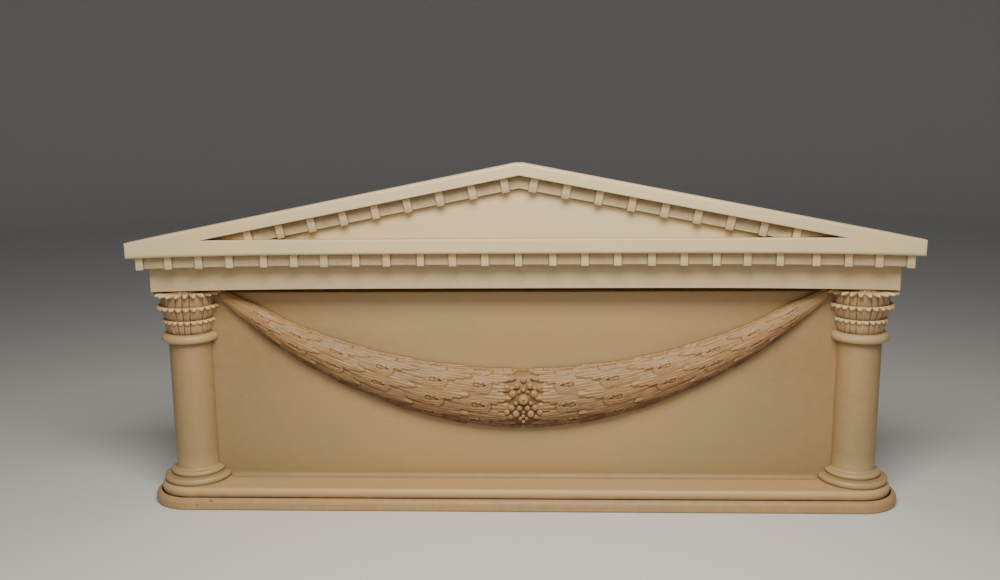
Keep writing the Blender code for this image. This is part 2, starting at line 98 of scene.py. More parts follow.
# %% [markdown]
# ## Old cream paint
# The paint is a warm ivory gone uneven with age: pinkish in one place, greenish in the next, with
# brush marks, and a thin brown glaze that was wiped off and stayed in every corner. The same brown
# also paints shade: in corners, creases and gaps, under overhangs and over whole faces that get less
# light. One node group makes that colour for all pieces. A number kept on each mesh says how much of
# the brown each point gets, for glaze and painted shade together.

# %% Node helpers
def feed(tree, target, value):
    """Links an input to another node's output, or sets it to a plain value."""
    if hasattr(value, "is_linked"):
        tree.links.new(value, target)
    else:
        target.default_value = value


def node(tree, kind, **values):
    """A new node: settings go by their own names, inputs by their labels."""
    made = tree.nodes.new(kind)
    for name, value in values.items():
        if hasattr(made, name):
            setattr(made, name, value)
        else:
            feed(tree, made.inputs[name.replace("_", " ")], value)
    return made


def new_group(name, inputs, outputs):
    """An empty node group. Each socket is given as its label, its kind and its starting value."""
    group = bpy.data.node_groups.new(name, "ShaderNodeTree")
    for way, rows in (("INPUT", inputs), ("OUTPUT", outputs)):
        for label, kind, value in rows:
            made = group.interface.new_socket(name=label, in_out=way, socket_type="NodeSocket" + kind)
            if value is not None:
                made.default_value = value
    return group, group.nodes.new("NodeGroupInput"), group.nodes.new("NodeGroupOutput")


def mix_colour(tree, factor, first, second, blend="MIX"):
    made = node(tree, "ShaderNodeMix", data_type="RGBA", blend_type=blend)
    for index, value in ((0, factor), (6, first), (7, second)):
        feed(tree, made.inputs[index], value)
    return made.outputs[2]


def maths(tree, operation, first, second, clamp=False):
    made = node(tree, "ShaderNodeMath", operation=operation, use_clamp=clamp)
    feed(tree, made.inputs[0], first)
    feed(tree, made.inputs[1], second)
    return made.outputs[0]


def ramp(tree, value, low, high):
    """0 below low, 1 above high, and a soft step between."""
    made = node(tree, "ShaderNodeMapRange", interpolation_type="SMOOTHSTEP", Value=value)
    made.inputs["From Min"].default_value = low
    made.inputs["From Max"].default_value = high
    return made.outputs["Result"]


def noise(tree, vector, scale, detail=4.0, roughness=0.55):
    made = node(tree, "ShaderNodeTexNoise", Vector=vector, Scale=scale, Detail=detail, Roughness=roughness)
    return made.outputs["Fac"]


print("node helpers ready")

# %% [markdown]
# The group's inputs are the three tints, the glaze brown, which also serves as painted shade, and how
# strongly each effect shows, so the smooth boards and the carving share it with different numbers.

# %% Shared paint group
PLAIN, BROWN, BRUSHED = (0.6, 0.5, 0.3, 1), (0.2, 0.1, 0.05, 1), (0.9, 0.82, 0.68, 1)


def build_paint_group():
    tints = [(label, "Color", PLAIN) for label in ("Cream", "Rosy", "Olive")]
    group, enter, leave = new_group(
        "aged_cream_paint",
        [("Vector", "Vector", None), ("Recess", "Float", 0.0), *tints, ("Glaze", "Color", BROWN),
         ("Mottling", "Float", 0.5), ("Glaze strength", "Float", 0.8)],
        [("Color", "Color", None), ("Roughness", "Float", None), ("Height", "Float", None)])
    vector, brown = enter.outputs["Vector"], enter.outputs["Glaze"]

    def times(first, second, clamp=False):
        return maths(group, "MULTIPLY", first, second, clamp)

    def plus(first, second):
        return maths(group, "ADD", first, second)

    # Broad clouds choose between the two tints, and smaller patches say how much of them shows
    cloud = ramp(group, noise(group, vector, 5.5, 3.0), 0.36, 0.64)
    patch = ramp(group, noise(group, vector, 17.0, 4.0), 0.35, 0.68)
    tint = mix_colour(group, cloud, enter.outputs["Rosy"], enter.outputs["Olive"])
    amount = times(enter.outputs["Mottling"], plus(times(patch, 0.5), 0.5))
    shade = mix_colour(group, amount, enter.outputs["Cream"], tint)
    # Brush marks run along the boards, so the pattern is drawn out in x
    stretch = node(group, "ShaderNodeMapping", Vector=vector, Scale=(0.10, 1.0, 1.0))
    brush = noise(group, stretch.outputs["Vector"], 260.0, 3.0, 0.6)
    fine = noise(group, vector, 900.0, 2.0, 0.5)
    shade = mix_colour(group, times(ramp(group, brush, 0.3, 0.75), 0.10), shade, BRUSHED, "MULTIPLY")
    # Small brown specks, few and far between
    cells = node(group, "ShaderNodeTexVoronoi", Scale=34.0, Vector=vector)
    picked = node(group, "ShaderNodeSeparateColor", Color=cells.outputs["Color"])
    few = ramp(group, picked.outputs["Red"], 0.93, 0.95)
    speck = times(ramp(group, cells.outputs["Distance"], 0.045, 0.020), few)
    shade = mix_colour(group, times(speck, 0.55), shade, brown)
    # The brown lies thick where the glaze and the painted shade are strong and breaks up towards the open
    # surface
    break_up = plus(times(noise(group, vector, 70.0, 4.0, 0.6), 0.9), 0.55)
    glaze_and_shade_mix = times(times(enter.outputs["Recess"], break_up), enter.outputs["Glaze strength"], True)
    rough = plus(plus(times(patch, 0.12), times(glaze_and_shade_mix, 0.18)), 0.40)
    bumps = plus(times(brush, 0.7), times(fine, 0.3))
    feed(group, leave.inputs["Color"], mix_colour(group, glaze_and_shade_mix, shade, brown))
    feed(group, leave.inputs["Roughness"], rough)
    feed(group, leave.inputs["Height"], bumps)
    return group


PAINT_GROUP = build_paint_group()
print("paint group has", len(PAINT_GROUP.nodes), "nodes")

# %% [markdown]
# Years of handling left single marks: a chip on the foot, a pale smear on the right slope, a few
# specks. A small group draws one ragged spot, and each is placed where the photograph shows it.

# %% Mark group
def build_mark_group():
    group, enter, leave = new_group(
        "paint_mark",
        [("Vector", "Vector", None), ("Paint", "Color", PLAIN), ("Middle", "Vector", None),
         ("Tightness", "Vector", None), ("Tint", "Color", BROWN), ("Amount", "Float", 0.5)],
        [("Color", "Color", None)])
    spot = enter.outputs["Vector"]
    for operation, label in (("SUBTRACT", "Middle"), ("MULTIPLY", "Tightness")):
        step = node(group, "ShaderNodeVectorMath", operation=operation)
        feed(group, step.inputs[0], spot)
        feed(group, step.inputs[1], enter.outputs[label])
        spot = step.outputs["Vector"]
    length = node(group, "ShaderNodeVectorMath", operation="LENGTH")
    feed(group, length.inputs[0], spot)
    # Noise makes the edge of the spot ragged
    wobble = maths(group, "MULTIPLY", noise(group, enter.outputs["Vector"], 450.0, 2.0), 0.9)
    ragged = maths(group, "ADD", length.outputs["Value"], wobble)
    amount = maths(group, "MULTIPLY", ramp(group, ragged, 1.45, 0.85), enter.outputs["Amount"])
    marked = mix_colour(group, amount, enter.outputs["Paint"], enter.outputs["Tint"])
    feed(group, leave.inputs["Color"], marked)
    return group


MARK_GROUP = build_mark_group()
DARK, PALE = (0.16, 0.08, 0.035), (0.80, 0.72, 0.58)
# Each mark: x and z of its middle, half its width and height, its tint, and how strongly it shows
BOARD_MARKS = ((0.102, 0.563, 0.012, 0.0024, PALE, 0.50), (0.387, 0.511, 0.006, 0.0012, DARK, 0.30),
               (0.221, 0.553, 0.007, 0.0012, DARK, 0.25), (-0.588, 0.393, 0.0014, 0.0012, DARK, 0.60))
PANEL_MARKS = ((-0.493, 0.183, 0.0030, 0.0018, DARK, 0.45), (-0.435, 0.122, 0.0020, 0.0020, DARK, 0.35),
               (-0.230, 0.137, 0.0018, 0.0018, DARK, 0.45), (0.003, 0.118, 0.0010, 0.0080, DARK, 0.35))
FOOT_MARKS = ((-0.532, 0.017, 0.0045, 0.0020, DARK, 0.85), (-0.556, 0.010, 0.0028, 0.0016, DARK, 0.75))
print("marks:", len(BOARD_MARKS + PANEL_MARKS + FOOT_MARKS))

# %% One material for each kind of surface
# The brown used both for the glaze and for painted shade
GLAZE_AND_SHADE_TINT = (0.105, 0.046, 0.016)
BUMP, CARVED_BUMP, BUMP_HIGH, SHINE = 0.12, 0.08, 0.0006, 0.42


def painted(name, cream, rosy, olive, mottling, strength, bump=BUMP, marks=()):
    material = bpy.data.materials.new(name)
    material.use_nodes = True
    tree = material.node_tree
    shader = tree.nodes["Principled BSDF"]
    place = node(tree, "ShaderNodeTexCoord").outputs["Object"]
    glaze_and_shade = node(tree, "ShaderNodeAttribute", attribute_name="glaze_and_shade").outputs["Fac"]
    paint = node(tree, "ShaderNodeGroup", node_tree=PAINT_GROUP, Vector=place, Recess=glaze_and_shade,
                 Cream=(*cream, 1.0), Rosy=(*rosy, 1.0), Olive=(*olive, 1.0), Glaze=(*GLAZE_AND_SHADE_TINT, 1.0),
                 Mottling=mottling, Glaze_strength=strength)
    relief = node(tree, "ShaderNodeBump", Strength=bump, Distance=BUMP_HIGH, Height=paint.outputs["Height"])
    colour = paint.outputs["Color"]
    for x, z, wide, tall, tint, amount in marks:
        mark = node(tree, "ShaderNodeGroup", node_tree=MARK_GROUP, Vector=place, Paint=colour,
                    Middle=(x, 0.0, z), Tightness=(1 / wide, 0.0, 1 / tall), Tint=(*tint, 1.0), Amount=amount)
        colour = mark.outputs["Color"]
    feed(tree, shader.inputs["Base Color"], colour)
    feed(tree, shader.inputs["Roughness"], paint.outputs["Roughness"])
    feed(tree, shader.inputs["Normal"], relief.outputs["Normal"])
    feed(tree, shader.inputs["Specular IOR Level"], SHINE)
    return material


# Each paint: its cream, rosy and olive tints, how uneven it is, and how strong its glaze and painted
# shade are. They are copies of one cream, lighter on the gable boards and darker on the panel,
# columns, foot, capitals and carving: painted light and shade for how much light each part gets.
BOARD_PAINT = painted("board_paint", (0.690, 0.540, 0.305), (0.720, 0.515, 0.290), (0.620, 0.525, 0.300),
                      0.55, 0.85, marks=BOARD_MARKS)
PANEL_PAINT = painted("panel_paint", (0.420, 0.292, 0.135), (0.455, 0.283, 0.127), (0.370, 0.288, 0.137),
                      0.70, 0.80, marks=PANEL_MARKS)
COLUMN_PAINT = painted("column_paint", (0.475, 0.335, 0.158), (0.515, 0.325, 0.150), (0.420, 0.330, 0.160),
                       0.70, 0.80)
CAPITAL_PAINT = painted("capital_paint", (0.640, 0.445, 0.220), (0.680, 0.430, 0.205),
                        (0.570, 0.440, 0.235), 0.65, 0.95, CARVED_BUMP)
FOOT_PAINT = painted("foot_paint", (0.620, 0.410, 0.190), (0.660, 0.400, 0.180), (0.560, 0.400, 0.190),
                     0.55, 0.80, marks=FOOT_MARKS)
CARVING_PAINT = painted("carving_paint", (0.395, 0.238, 0.098), (0.420, 0.228, 0.090),
                        (0.345, 0.236, 0.108), 0.65, 0.95, CARVED_BUMP)
print("materials:", [material.name for material in bpy.data.materials])

# %% [markdown]
# ## Turning a shape into a finished piece
# Every piece ends the same way: faces outward, smooth shading that stops at sharp corners, its paint,
# the node it stands for, and at each of its points the number for glaze and painted shade.

# %% Finish a piece
TINY, LOOSE = 1e-7, 1e-6
SAG, SAG_HALF, SAG_BAND = 0.0062, 0.65, 0.022
SAG_CUTS = [0.05 * i for i in range(-12, 13) if i]


def glaze_and_shade_layer(bm):
    """The number kept at each point for the glaze and the painted shade: 0 in the open, 1 in the darkest
    corners.
    """
    return bm.verts.layers.float.get("glaze_and_shade") or bm.verts.layers.float.new("glaze_and_shade")


def paint_depth(bm, glaze_and_shade):
    layer = glaze_and_shade_layer(bm)
    for vert in bm.verts:
        vert[layer] = glaze_and_shade(vert.co)


def near(value, line, reach):
    """1 on the line, 0 at this reach from it and beyond."""
    return max(0.0, 1.0 - abs(value - line) / reach)


def held(value):
    return min(max(value, 0.0), 1.0)


def slice_at(bm, point, normal, geometry=None, clear=False):
    """Cuts along a plane. Clear takes away what lies on the side that the normal points to."""
    geometry = geometry or list(bm.verts) + list(bm.edges) + list(bm.faces)
    bmesh.ops.bisect_plane(bm, geom=geometry, dist=TINY, plane_co=point, plane_no=normal, clear_outer=clear)


def cut_across(bm, axis, places):
    """Extra rows of points in a board, where its paint changes."""
    normal = Vector([float(i == axis) for i in range(3)])
    for place in places:
        slice_at(bm, normal * place, normal)


def let_ends_sag(bm, top, share_above):
    """The long boards have dropped a few millimetres at their ends. Above this height only a share of it."""
    cut_across(bm, 0, SAG_CUTS)
    for vert in bm.verts:
        below = held((top - vert.co.z) / SAG_BAND)
        drop = SAG * (abs(vert.co.x) / SAG_HALF) ** 4
        vert.co.z -= drop * (share_above + (1 - share_above) * below)


def finish_piece(name, bm, nodes, material=BOARD_PAINT, glaze_and_shade=None, sharp=40,
                 even=True):
    bmesh.ops.remove_doubles(bm, verts=bm.verts, dist=LOOSE)
    bmesh.ops.recalc_face_normals(bm, faces=bm.faces)
    open_edges = sum(1 for edge in bm.edges if len(edge.link_faces) != 2)
    glaze_and_shade_layer(bm)
    if glaze_and_shade:
        paint_depth(bm, glaze_and_shade)
    mesh = bpy.data.meshes.new(name)
    bm.to_mesh(mesh)
    bm.free()
    mesh.materials.append(material)
    mesh.shade_smooth()
    mesh.set_sharp_from_angle(angle=math.radians(sharp))
    piece = bpy.data.objects.new(name, mesh)
    bpy.context.scene.collection.objects.link(piece)
    if even:
        shading = piece.modifiers.new("even_shading", "WEIGHTED_NORMAL")
        shading.keep_sharp = True
    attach(piece, "root")
    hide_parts(*nodes)
    print(name, len(mesh.polygons), "faces,", open_edges, "open edges")


def finish_board(name, bm, nodes, glaze_and_shade, top=CORNICE_Z, share_above=1.0):
    """A long board: its glaze and painted shade are set while it is straight, then its ends are let down."""
    paint_depth(bm, glaze_and_shade)
    let_ends_sag(bm, top, share_above)
    finish_piece(name, bm, nodes)


print("finishing helpers ready")

# %% [markdown]
# ## Boards with eased edges
# A planed board never has a razor edge under paint. Each one starts as a cube stretched to the
# node's own box, and a small bevel eases all its edges. Other boards are cut out along an outline:
# a flat sheet is filled and pulled out to its thickness.

# %% Board helpers
def round_over(bm, edges, offset, segments=3):
    bmesh.ops.bevel(bm, geom=edges, offset=offset, segments=segments, profile=0.5, affect="EDGES",
                    material=-1)


def open_rim(bm):
    return [edge for edge in bm.edges if len(edge.link_faces) == 1]


def close_holes(bm):
    bmesh.ops.holes_fill(bm, edges=open_rim(bm), sides=0)


def merge_and_close(bm):
    bmesh.ops.remove_doubles(bm, verts=bm.verts, dist=LOOSE)
    close_holes(bm)


def only_points(geometry):
    return [part for part in geometry if isinstance(part, bmesh.types.BMVert)]


def grid(columns, rows):
    """A sheet of points, and a list of each point with its column and its row."""
    bm = bmesh.new()
    # A new layer would make the listed points stale, so it comes first
    glaze_and_shade_layer(bm)
    bmesh.ops.create_grid(bm, x_segments=columns, y_segments=rows, size=0.5)
    places = [(round((vert.co.x + 0.5) * columns), round((vert.co.y + 0.5) * rows)) for vert in bm.verts]
    return bm, [(vert, *place) for vert, place in zip(bm.verts, places)]


def fold_back(bm, y):
    """The sheet's rim is drawn back to this plane, and the back is closed. Gives the new points."""
    made = only_points(bmesh.ops.extrude_edge_only(bm, edges=open_rim(bm))["geom"])
    for vert in made:
        vert.co.y = y
    close_holes(bm)
    return made


def add_box(bm, size, middle, lean=0.0):
    """A box of this size, leant over and set in its place."""
    made = bmesh.ops.create_cube(bm, size=1.0)["verts"]
    bmesh.ops.scale(bm, vec=size, verts=made)
    bmesh.ops.rotate(bm, verts=made, cent=(0, 0, 0), matrix=Matrix.Rotation(lean, 3, "Y"))
    bmesh.ops.translate(bm, vec=middle, verts=made)
    return made


def board(low, high, ease):
    bm = bmesh.new()
    add_box(bm, Vector(high) - Vector(low), (Vector(low) + Vector(high)) / 2)
    round_over(bm, list(bm.edges), ease)
    return bm


def closed_outline(bm, points, y):
    verts = [bm.verts.new((x, y, z)) for x, z in points]
    return [bm.edges.new(pair) for pair in zip(verts, verts[1:] + verts[:1])]


def thicken(bm, faces, depth):
    grown = bmesh.ops.extrude_face_region(bm, geom=faces)["geom"]
    bmesh.ops.translate(bm, verts=only_points(grown), vec=(0, depth, 0))


def cut_out(points, y, depth):
    bm = bmesh.new()
    closed_outline(bm, points, y)
    faces = bmesh.ops.contextual_create(bm, geom=list(bm.edges))["faces"]
    thicken(bm, faces, depth)
    return bm


print("board helpers ready")

# %% [markdown]
# The strip behind the blocks carries a brown line on both sides of every block and along its foot,
# where glaze was never wiped away and shade falls; the whole strip is darkened as painted shade,
# most just under the cornice. Cuts beside each block give the darkening points to hold to.

# %% Dentil strip and frieze
BLOCK_NODES = ["dentil_%02d" % i for i in range(1, 26)]
BLOCK_BOXES = [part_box(name) for name in BLOCK_NODES]
BLOCK_X = [(low[0] + high[0]) / 2 for low, high in BLOCK_BOXES]
BLOCK_HALF = (BLOCK_BOXES[0][1][0] - BLOCK_BOXES[0][0][0]) / 2
LINE_WIDE, CORNER_DEEP, FOOT_DEEP = 0.0034, 0.0045, 0.0025
low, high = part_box("dentil_strip")
STRIP_LOW = low[2]
bm = board(low, high, 0.0008)
BESIDE = (0.0, 0.0012, LINE_WIDE)
beside = [x + side * (BLOCK_HALF + gap) for x in BLOCK_X for side in (-1, 1) for gap in BESIDE]
cut_across(bm, 0, sorted(x for x in beside if low[0] + 0.001 < x < high[0] - 0.001))
cut_across(bm, 2, [low[2] + 0.0015, low[2] + 0.004, high[2] - CORNER_DEEP, high[2] - 0.0020])


# Painted shade over the whole strip, darkest under the cornice, with glaze and painted shade in brown lines
# beside each block and along the foot
def strip_glaze_and_shade(co):
    if co.y > STRIP_Y + 0.0006:
        return 0.35
    block = max(near(co.x, x + side * BLOCK_HALF, LINE_WIDE) for x in BLOCK_X for side in (-1, 1))
    return max(0.9 * block, near(co.z, CORNICE_Z, CORNER_DEEP), 0.7 * near(co.z, STRIP_LOW, FOOT_DEEP), 0.45)


finish_board("dentil_strip_board", bm, ["dentil_strip"], strip_glaze_and_shade)

low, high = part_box("frieze")
SHADE_HIGH, SHADE_WIDE = 0.009, 0.0085
bm = board(low, high, 0.0010)
under_blocks = [x + side * gap for x in BLOCK_X for side in (-1, 1) for gap in (0.0045, SHADE_WIDE)]
cut_across(bm, 0, sorted(x for x in under_blocks if low[0] + 0.002 < x < high[0] - 0.002))
cut_across(bm, 2, [high[2] - 0.0022, high[2] - 0.0048, high[2] - SHADE_HIGH, low[2] + 0.003])


# Painted shade: the whole frieze is darkened under the cornice's overhang, more at its top, with a painted
# shadow under each block and a little at its foot
def frieze_painted_shade(co):
    if co.y > low[1] + 0.0008:
        return 0.5
    block = max(near(co.x, x, SHADE_WIDE) for x in BLOCK_X) * near(co.z, high[2], SHADE_HIGH)
    return max(0.55 * near(co.z, high[2], 0.0048), 0.9 * block, 0.25 * near(co.z, low[2], 0.003), 0.29)


finish_board("frieze_board", bm, ["frieze"], frieze_painted_shade)

# %% [markdown]
# ## The rows of blocks
# Each block is a small cube with worn edges, set by hand, so it leans a hair to one side. All blocks
# of a row become one piece: they are cut from one lath, glued on and painted together.

# %% Level blocks
CARE = random.Random(11)


def add_block(bm, size, middle, lean):
    """One block, worn round along its front edges."""
    made = add_box(bm, size, middle, lean)
    edges = list({edge for vert in made for edge in vert.link_edges})
    front = [edge for edge in edges if min(vert.co.y for vert in edge.verts) < middle[1]]
    round_over(bm, front, 0.0011)


bm = bmesh.new()
for low, high in BLOCK_BOXES:
    low, high = Vector(low), Vector(high)
    low.x += CARE.uniform(0.0, 0.0006)
    high.x -= CARE.uniform(0.0, 0.0006)
    low.z += CARE.uniform(0.0, 0.0007)
    add_block(bm, high - low, (low + high) / 2, CARE.uniform(-0.008, 0.008))


# Painted shade: a shadow at each block's foot, and its back part darkened
def block_painted_shade(co):
    foot = near(co.z, STRIP_LOW - 0.0024, FOOT_DEEP)
    return max(0.75 * foot, 0.55 * (co.y > STRIP_Y - 0.0008))


finish_board("dentil_blocks", bm, BLOCK_NODES, block_painted_shade)

# %% [markdown]
# ## The gable
# The frame is one flat board with a three-cornered opening. Filling the gap between its two outlines
# makes the front, an extrusion gives it thickness, and two bevels round it over: a wide one outside
# and a small one at the opening.

# %% Pediment frame
HALF_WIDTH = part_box("pediment_frame")[1][0]
PEAK_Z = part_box("pediment_frame")[1][2]
FRAME_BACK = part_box("pediment_frame")[1][1]
TYMPANUM_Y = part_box("tympanum")[0][1]
GABLE_RISE, END_RISE, RAKE_BAND, CORNICE_HIGH, CROWN_FLAT = 0.1475, 0.0200, 0.0212, 0.0240, 0.012
APEX_Z = CORNICE_Z + GABLE_RISE
INNER_Z = APEX_Z - RAKE_BAND
LEDGE_Z = CORNICE_Z + CORNICE_HIGH
SLOPE = (GABLE_RISE - END_RISE) / HALF_WIDTH
CORNER_X = (INNER_Z - LEDGE_Z) / SLOPE


def rake_z(apex, x):
    return apex - SLOPE * abs(x)


def crowned_outline():
    """The outer outline, its peak worn round."""
    eaves, flat_z = rake_z(APEX_Z, HALF_WIDTH), rake_z(APEX_Z, CROWN_FLAT)
    points = [(-HALF_WIDTH, CORNICE_Z), (HALF_WIDTH, CORNICE_Z), (HALF_WIDTH, eaves)]
    for i in range(-6, 7):
        x = -CROWN_FLAT * i / 6
        sag = (CROWN_FLAT ** 2 - x ** 2) / CROWN_FLAT ** 2
        points.append((x, flat_z + (PEAK_Z - flat_z) * sag))
    return points + [(-HALF_WIDTH, eaves)]


bm = bmesh.new()
outer = closed_outline(bm, crowned_outline(), FRONT_Y)
inner = closed_outline(bm, [(-CORNER_X, LEDGE_Z), (CORNER_X, LEDGE_Z), (0.0, INNER_Z)], FRONT_Y)
bmesh.ops.triangle_fill(bm, edges=outer + inner, use_beauty=True, use_dissolve=False, normal=(0, -1, 0))
thicken(bm, list(bm.faces), FRAME_BACK - FRONT_Y)


def on_front(edge):
    return all(abs(vert.co.y - FRONT_Y) < LOOSE for vert in edge.verts)


def at_opening(edge):
    reach = 1e-5
    return on_front(edge) and all(abs(vert.co.x) <= CORNER_X + reach and LEDGE_Z - reach < vert.co.z
                                  and vert.co.z < rake_z(INNER_Z, vert.co.x) + reach for vert in edge.verts)


rim = [edge for edge in bm.edges if on_front(edge) and any(abs(face.normal.y) < 0.5
       or face.calc_center_median().y > FRONT_Y + 0.001 for face in edge.link_faces)]
round_over(bm, [edge for edge in rim if not at_opening(edge)], 0.0050, 6)
round_over(bm, [edge for edge in bm.edges if at_opening(edge)], 0.0018, 4)


# Painted shade on the faces inside the opening
def frame_painted_shade(co):
    inside = LEDGE_Z - 0.004 < co.z < rake_z(INNER_Z, co.x) + 0.004 and co.y > FRONT_Y + 0.004
    return 0.45 if inside else 0.0


finish_board("gable_frame", bm, ["pediment_frame"], frame_painted_shade, LEDGE_Z - 0.002, 0.0)

# %% [markdown]
# Behind the opening lies the gabled core board. Its front is cut along the lines where the small
# raking strip meets it, so that a dark line of painted shadow can gather there; the rest of the front
# is darkened only a little.

# %% Tympanum
low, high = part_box("tympanum")
STRIP_DROP, SEAM = 0.0211, 0.0040
core_apex = APEX_Z - (HALF_WIDTH - high[0])
eaves = rake_z(core_apex, high[0])
outline = [(low[0], low[2]), (high[0], low[2]), (high[0], eaves), (0.0, core_apex), (low[0], eaves)]
bm = cut_out(outline, WALL_Y, TYMPANUM_Y - WALL_Y)
round_over(bm, list(bm.edges), 0.0008, 2)
for side in (-1, 1):
    for gap in (0.0, 0.0012, SEAM):
        slice_at(bm, Vector((0, 0, INNER_Z - STRIP_DROP - gap)), Vector((SLOPE * side, 0, 1)).normalized())


# Painted shadow in a dark line under the raking strip, the rest of the front darkened a little
def tympanum_painted_shade(co):
    if co.y > TYMPANUM_Y + 0.001:
        return 0.15
    below = rake_z(INNER_Z - STRIP_DROP, co.x) - co.z
    return 0.85 * near(below, 0.0, SEAM) if below > -0.001 else 0.3


finish_piece("tympanum_board", bm, ["tympanum"], glaze_and_shade=tympanum_painted_shade)

# %% [markdown]
# The raking strip is a thin lath in the shape of the gable. It is drawn as one outline, filled and
# extruded, and cut beside each of its blocks like the level strip below.

# %% Raking strip
low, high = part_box("raking_strip")
RAKE_X = []
for i in range(1, 10):
    first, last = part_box("raking_dentil_right_%d" % i)
    RAKE_X.append((first[0] + last[0]) / 2)
top, bottom = INNER_Z - 0.0006, INNER_Z - STRIP_DROP
wide, narrow = high[0], (bottom - low[2]) / SLOPE
outline = [(-wide, low[2]), (-narrow, low[2]), (0.0, bottom), (narrow, low[2]), (wide, low[2]),
           (wide, rake_z(top, wide)), (0.0, top), (-wide, rake_z(top, wide))]
bm = cut_out(outline, high[1], low[1] - high[1])
round_over(bm, [e for e in bm.edges if all(abs(v.co.y - low[1]) < LOOSE for v in e.verts)], 0.0006, 2)
lean = math.atan(SLOPE)
RAKE_HALF = 0.0065
CENTRE_Z = INNER_Z - 0.0105
for side in (-1, 1):
    along = Vector((math.cos(lean) * side, 0, -math.sin(lean)))
    for x in RAKE_X:
        middle = Vector((side * x, 0, rake_z(CENTRE_Z, x)))
        for gap in (-0.0099, -0.0077, -RAKE_HALF, RAKE_HALF, 0.0077, 0.0099):
            keep = {face for face in bm.faces if face.calc_center_median().x * side > 0}
            keep |= {part for face in keep for part in (*face.edges, *face.verts)}
            slice_at(bm, middle + along * gap, along, list(keep))


# Glaze and painted shade in brown lines beside each block, painted shadow under the gable frame and a darker
# line along the foot
def raking_glaze_and_shade(co):
    best = 0.0
    for x in RAKE_X:
        along = (abs(co.x) - x) * math.cos(lean) - (co.z - rake_z(CENTRE_Z, x)) * math.sin(lean)
        best = max(best, near(abs(along), RAKE_HALF, LINE_WIDE))
    upper = near(co.z, rake_z(top, co.x), 0.004)
    lower = near(co.z, rake_z(bottom, co.x), 0.0022)
    return max(0.85 * best, 0.9 * upper, 0.6 * lower)


finish_piece("raking_lath", bm, ["raking_strip"], glaze_and_shade=raking_glaze_and_shade)

# %% Raking blocks
bm = bmesh.new()
for side, word in ((-1, "left"), (1, "right")):
    for i, x in enumerate(RAKE_X, start=1):
        low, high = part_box("raking_dentil_%s_%d" % (word, i))
        tall = STRIP_DROP * math.cos(lean) + 0.0024
        size = (2 * BLOCK_HALF - CARE.uniform(0, 0.0008), high[1] - low[1], tall - CARE.uniform(0, 0.0005))
        centre_z = rake_z(top, x) - (tall / 2) / math.cos(lean)
        middle = (side * x, (low[1] + high[1]) / 2, centre_z)
        add_block(bm, size, middle, side * lean + CARE.uniform(-0.01, 0.01))
# The lowest pair stops on the ledge of the cornice
slice_at(bm, (0, 0, LEDGE_Z + AIR), (0, 0, -1), clear=True)
close_holes(bm)


# Painted shade: a shadow at each block's foot, and its back part darkened
def raking_block_painted_shade(co):
    foot = near(co.z, rake_z(bottom, co.x) - 0.0022, FOOT_DEEP)
    return max(0.7 * foot, 0.55 * (co.y > STRIP_Y - 0.0008))


nodes = ["raking_dentil_%s_%d" % (word, i) for word in ("left", "right") for i in range(1, 10)]
finish_piece("raking_blocks", bm, nodes, glaze_and_shade=raking_block_painted_shade)

# %% [markdown]
# ## The stepped foot
# Two boards with moulded edges run round the columns. A circle pulled apart into a long round-ended
# outline is extruded row by row along the moulding's profile. Then the back is cut flat, because the
# piece stands against a wall.

# %% Moulded boards
def moulded_board(profile, segments=128):
    bm = bmesh.new()
    radius, z = profile[0]
    ring = bmesh.ops.create_circle(bm, cap_ends=True, radius=radius, segments=segments,
                                   matrix=Matrix.Rotation(math.pi / segments, 4, "Z"))["verts"]
    for vert in ring:
        vert.co = Vector((vert.co.x + math.copysign(COLUMN_X, vert.co.x), vert.co.y + PANEL_Y, z))
    face = bm.faces[:][0]
    for radius_now, z_now in profile[1:]:
        made = bmesh.ops.extrude_face_region(bm, geom=[face])["geom"]
        face = next(part for part in made if isinstance(part, bmesh.types.BMFace))
        for vert in face.verts:
            centre = Vector((math.copysign(COLUMN_X, vert.co.x), PANEL_Y))
            outward = (Vector(vert.co.xy) - centre).normalized()
            vert.co = (*(centre + outward * radius_now), z_now)
    slice_at(bm, (0, WALL_Y, 0), (0, 1, 0), clear=True)
    close_holes(bm)
    return bm


def rounded_profile(radius, z0, z1, foot, crown, steps=8):
    """A board's edge from its foot up, both corners rounded, each by its own radius."""
    turns = [math.pi / 2 * i / steps for i in range(steps + 1)]
    lower = [(radius - foot * (1 - math.sin(turn)), z0 + foot * (1 - math.cos(turn))) for turn in turns]
    upper = [(radius - crown * (1 - math.cos(turn)), z1 - crown * (1 - math.sin(turn))) for turn in turns]
    return lower + upper


LOWER_RADIUS, UPPER_RADIUS = 0.0745, 0.0630
low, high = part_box("plinth_lower")
STEP_JOINT = high[2]


def beyond(co):
    """How far a point lies from the columns' line of axes, round the ends."""
    return Vector((max(abs(co.x) - COLUMN_X, 0.0), co.y - PANEL_Y)).length


# Painted shade in the groove under the upper step and along the floor, and the whole step front darkened
def lower_step_painted_shade(co):
    joint = near(beyond(co), UPPER_RADIUS - 0.002, 0.005) * near(co.z, STEP_JOINT, 0.002)
    return max(0.90 * joint, 0.5 * near(co.z, 0.0, 0.003), 0.44)


profile = rounded_profile(LOWER_RADIUS, low[2], high[2], 0.004, 0.009)
bm = moulded_board(profile + [(UPPER_RADIUS + 0.0005, high[2]), (UPPER_RADIUS - 0.0040, high[2])])
finish_piece("lower_step", bm, ["plinth_lower"], FOOT_PAINT, glaze_and_shade=lower_step_painted_shade)

low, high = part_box("plinth_upper")


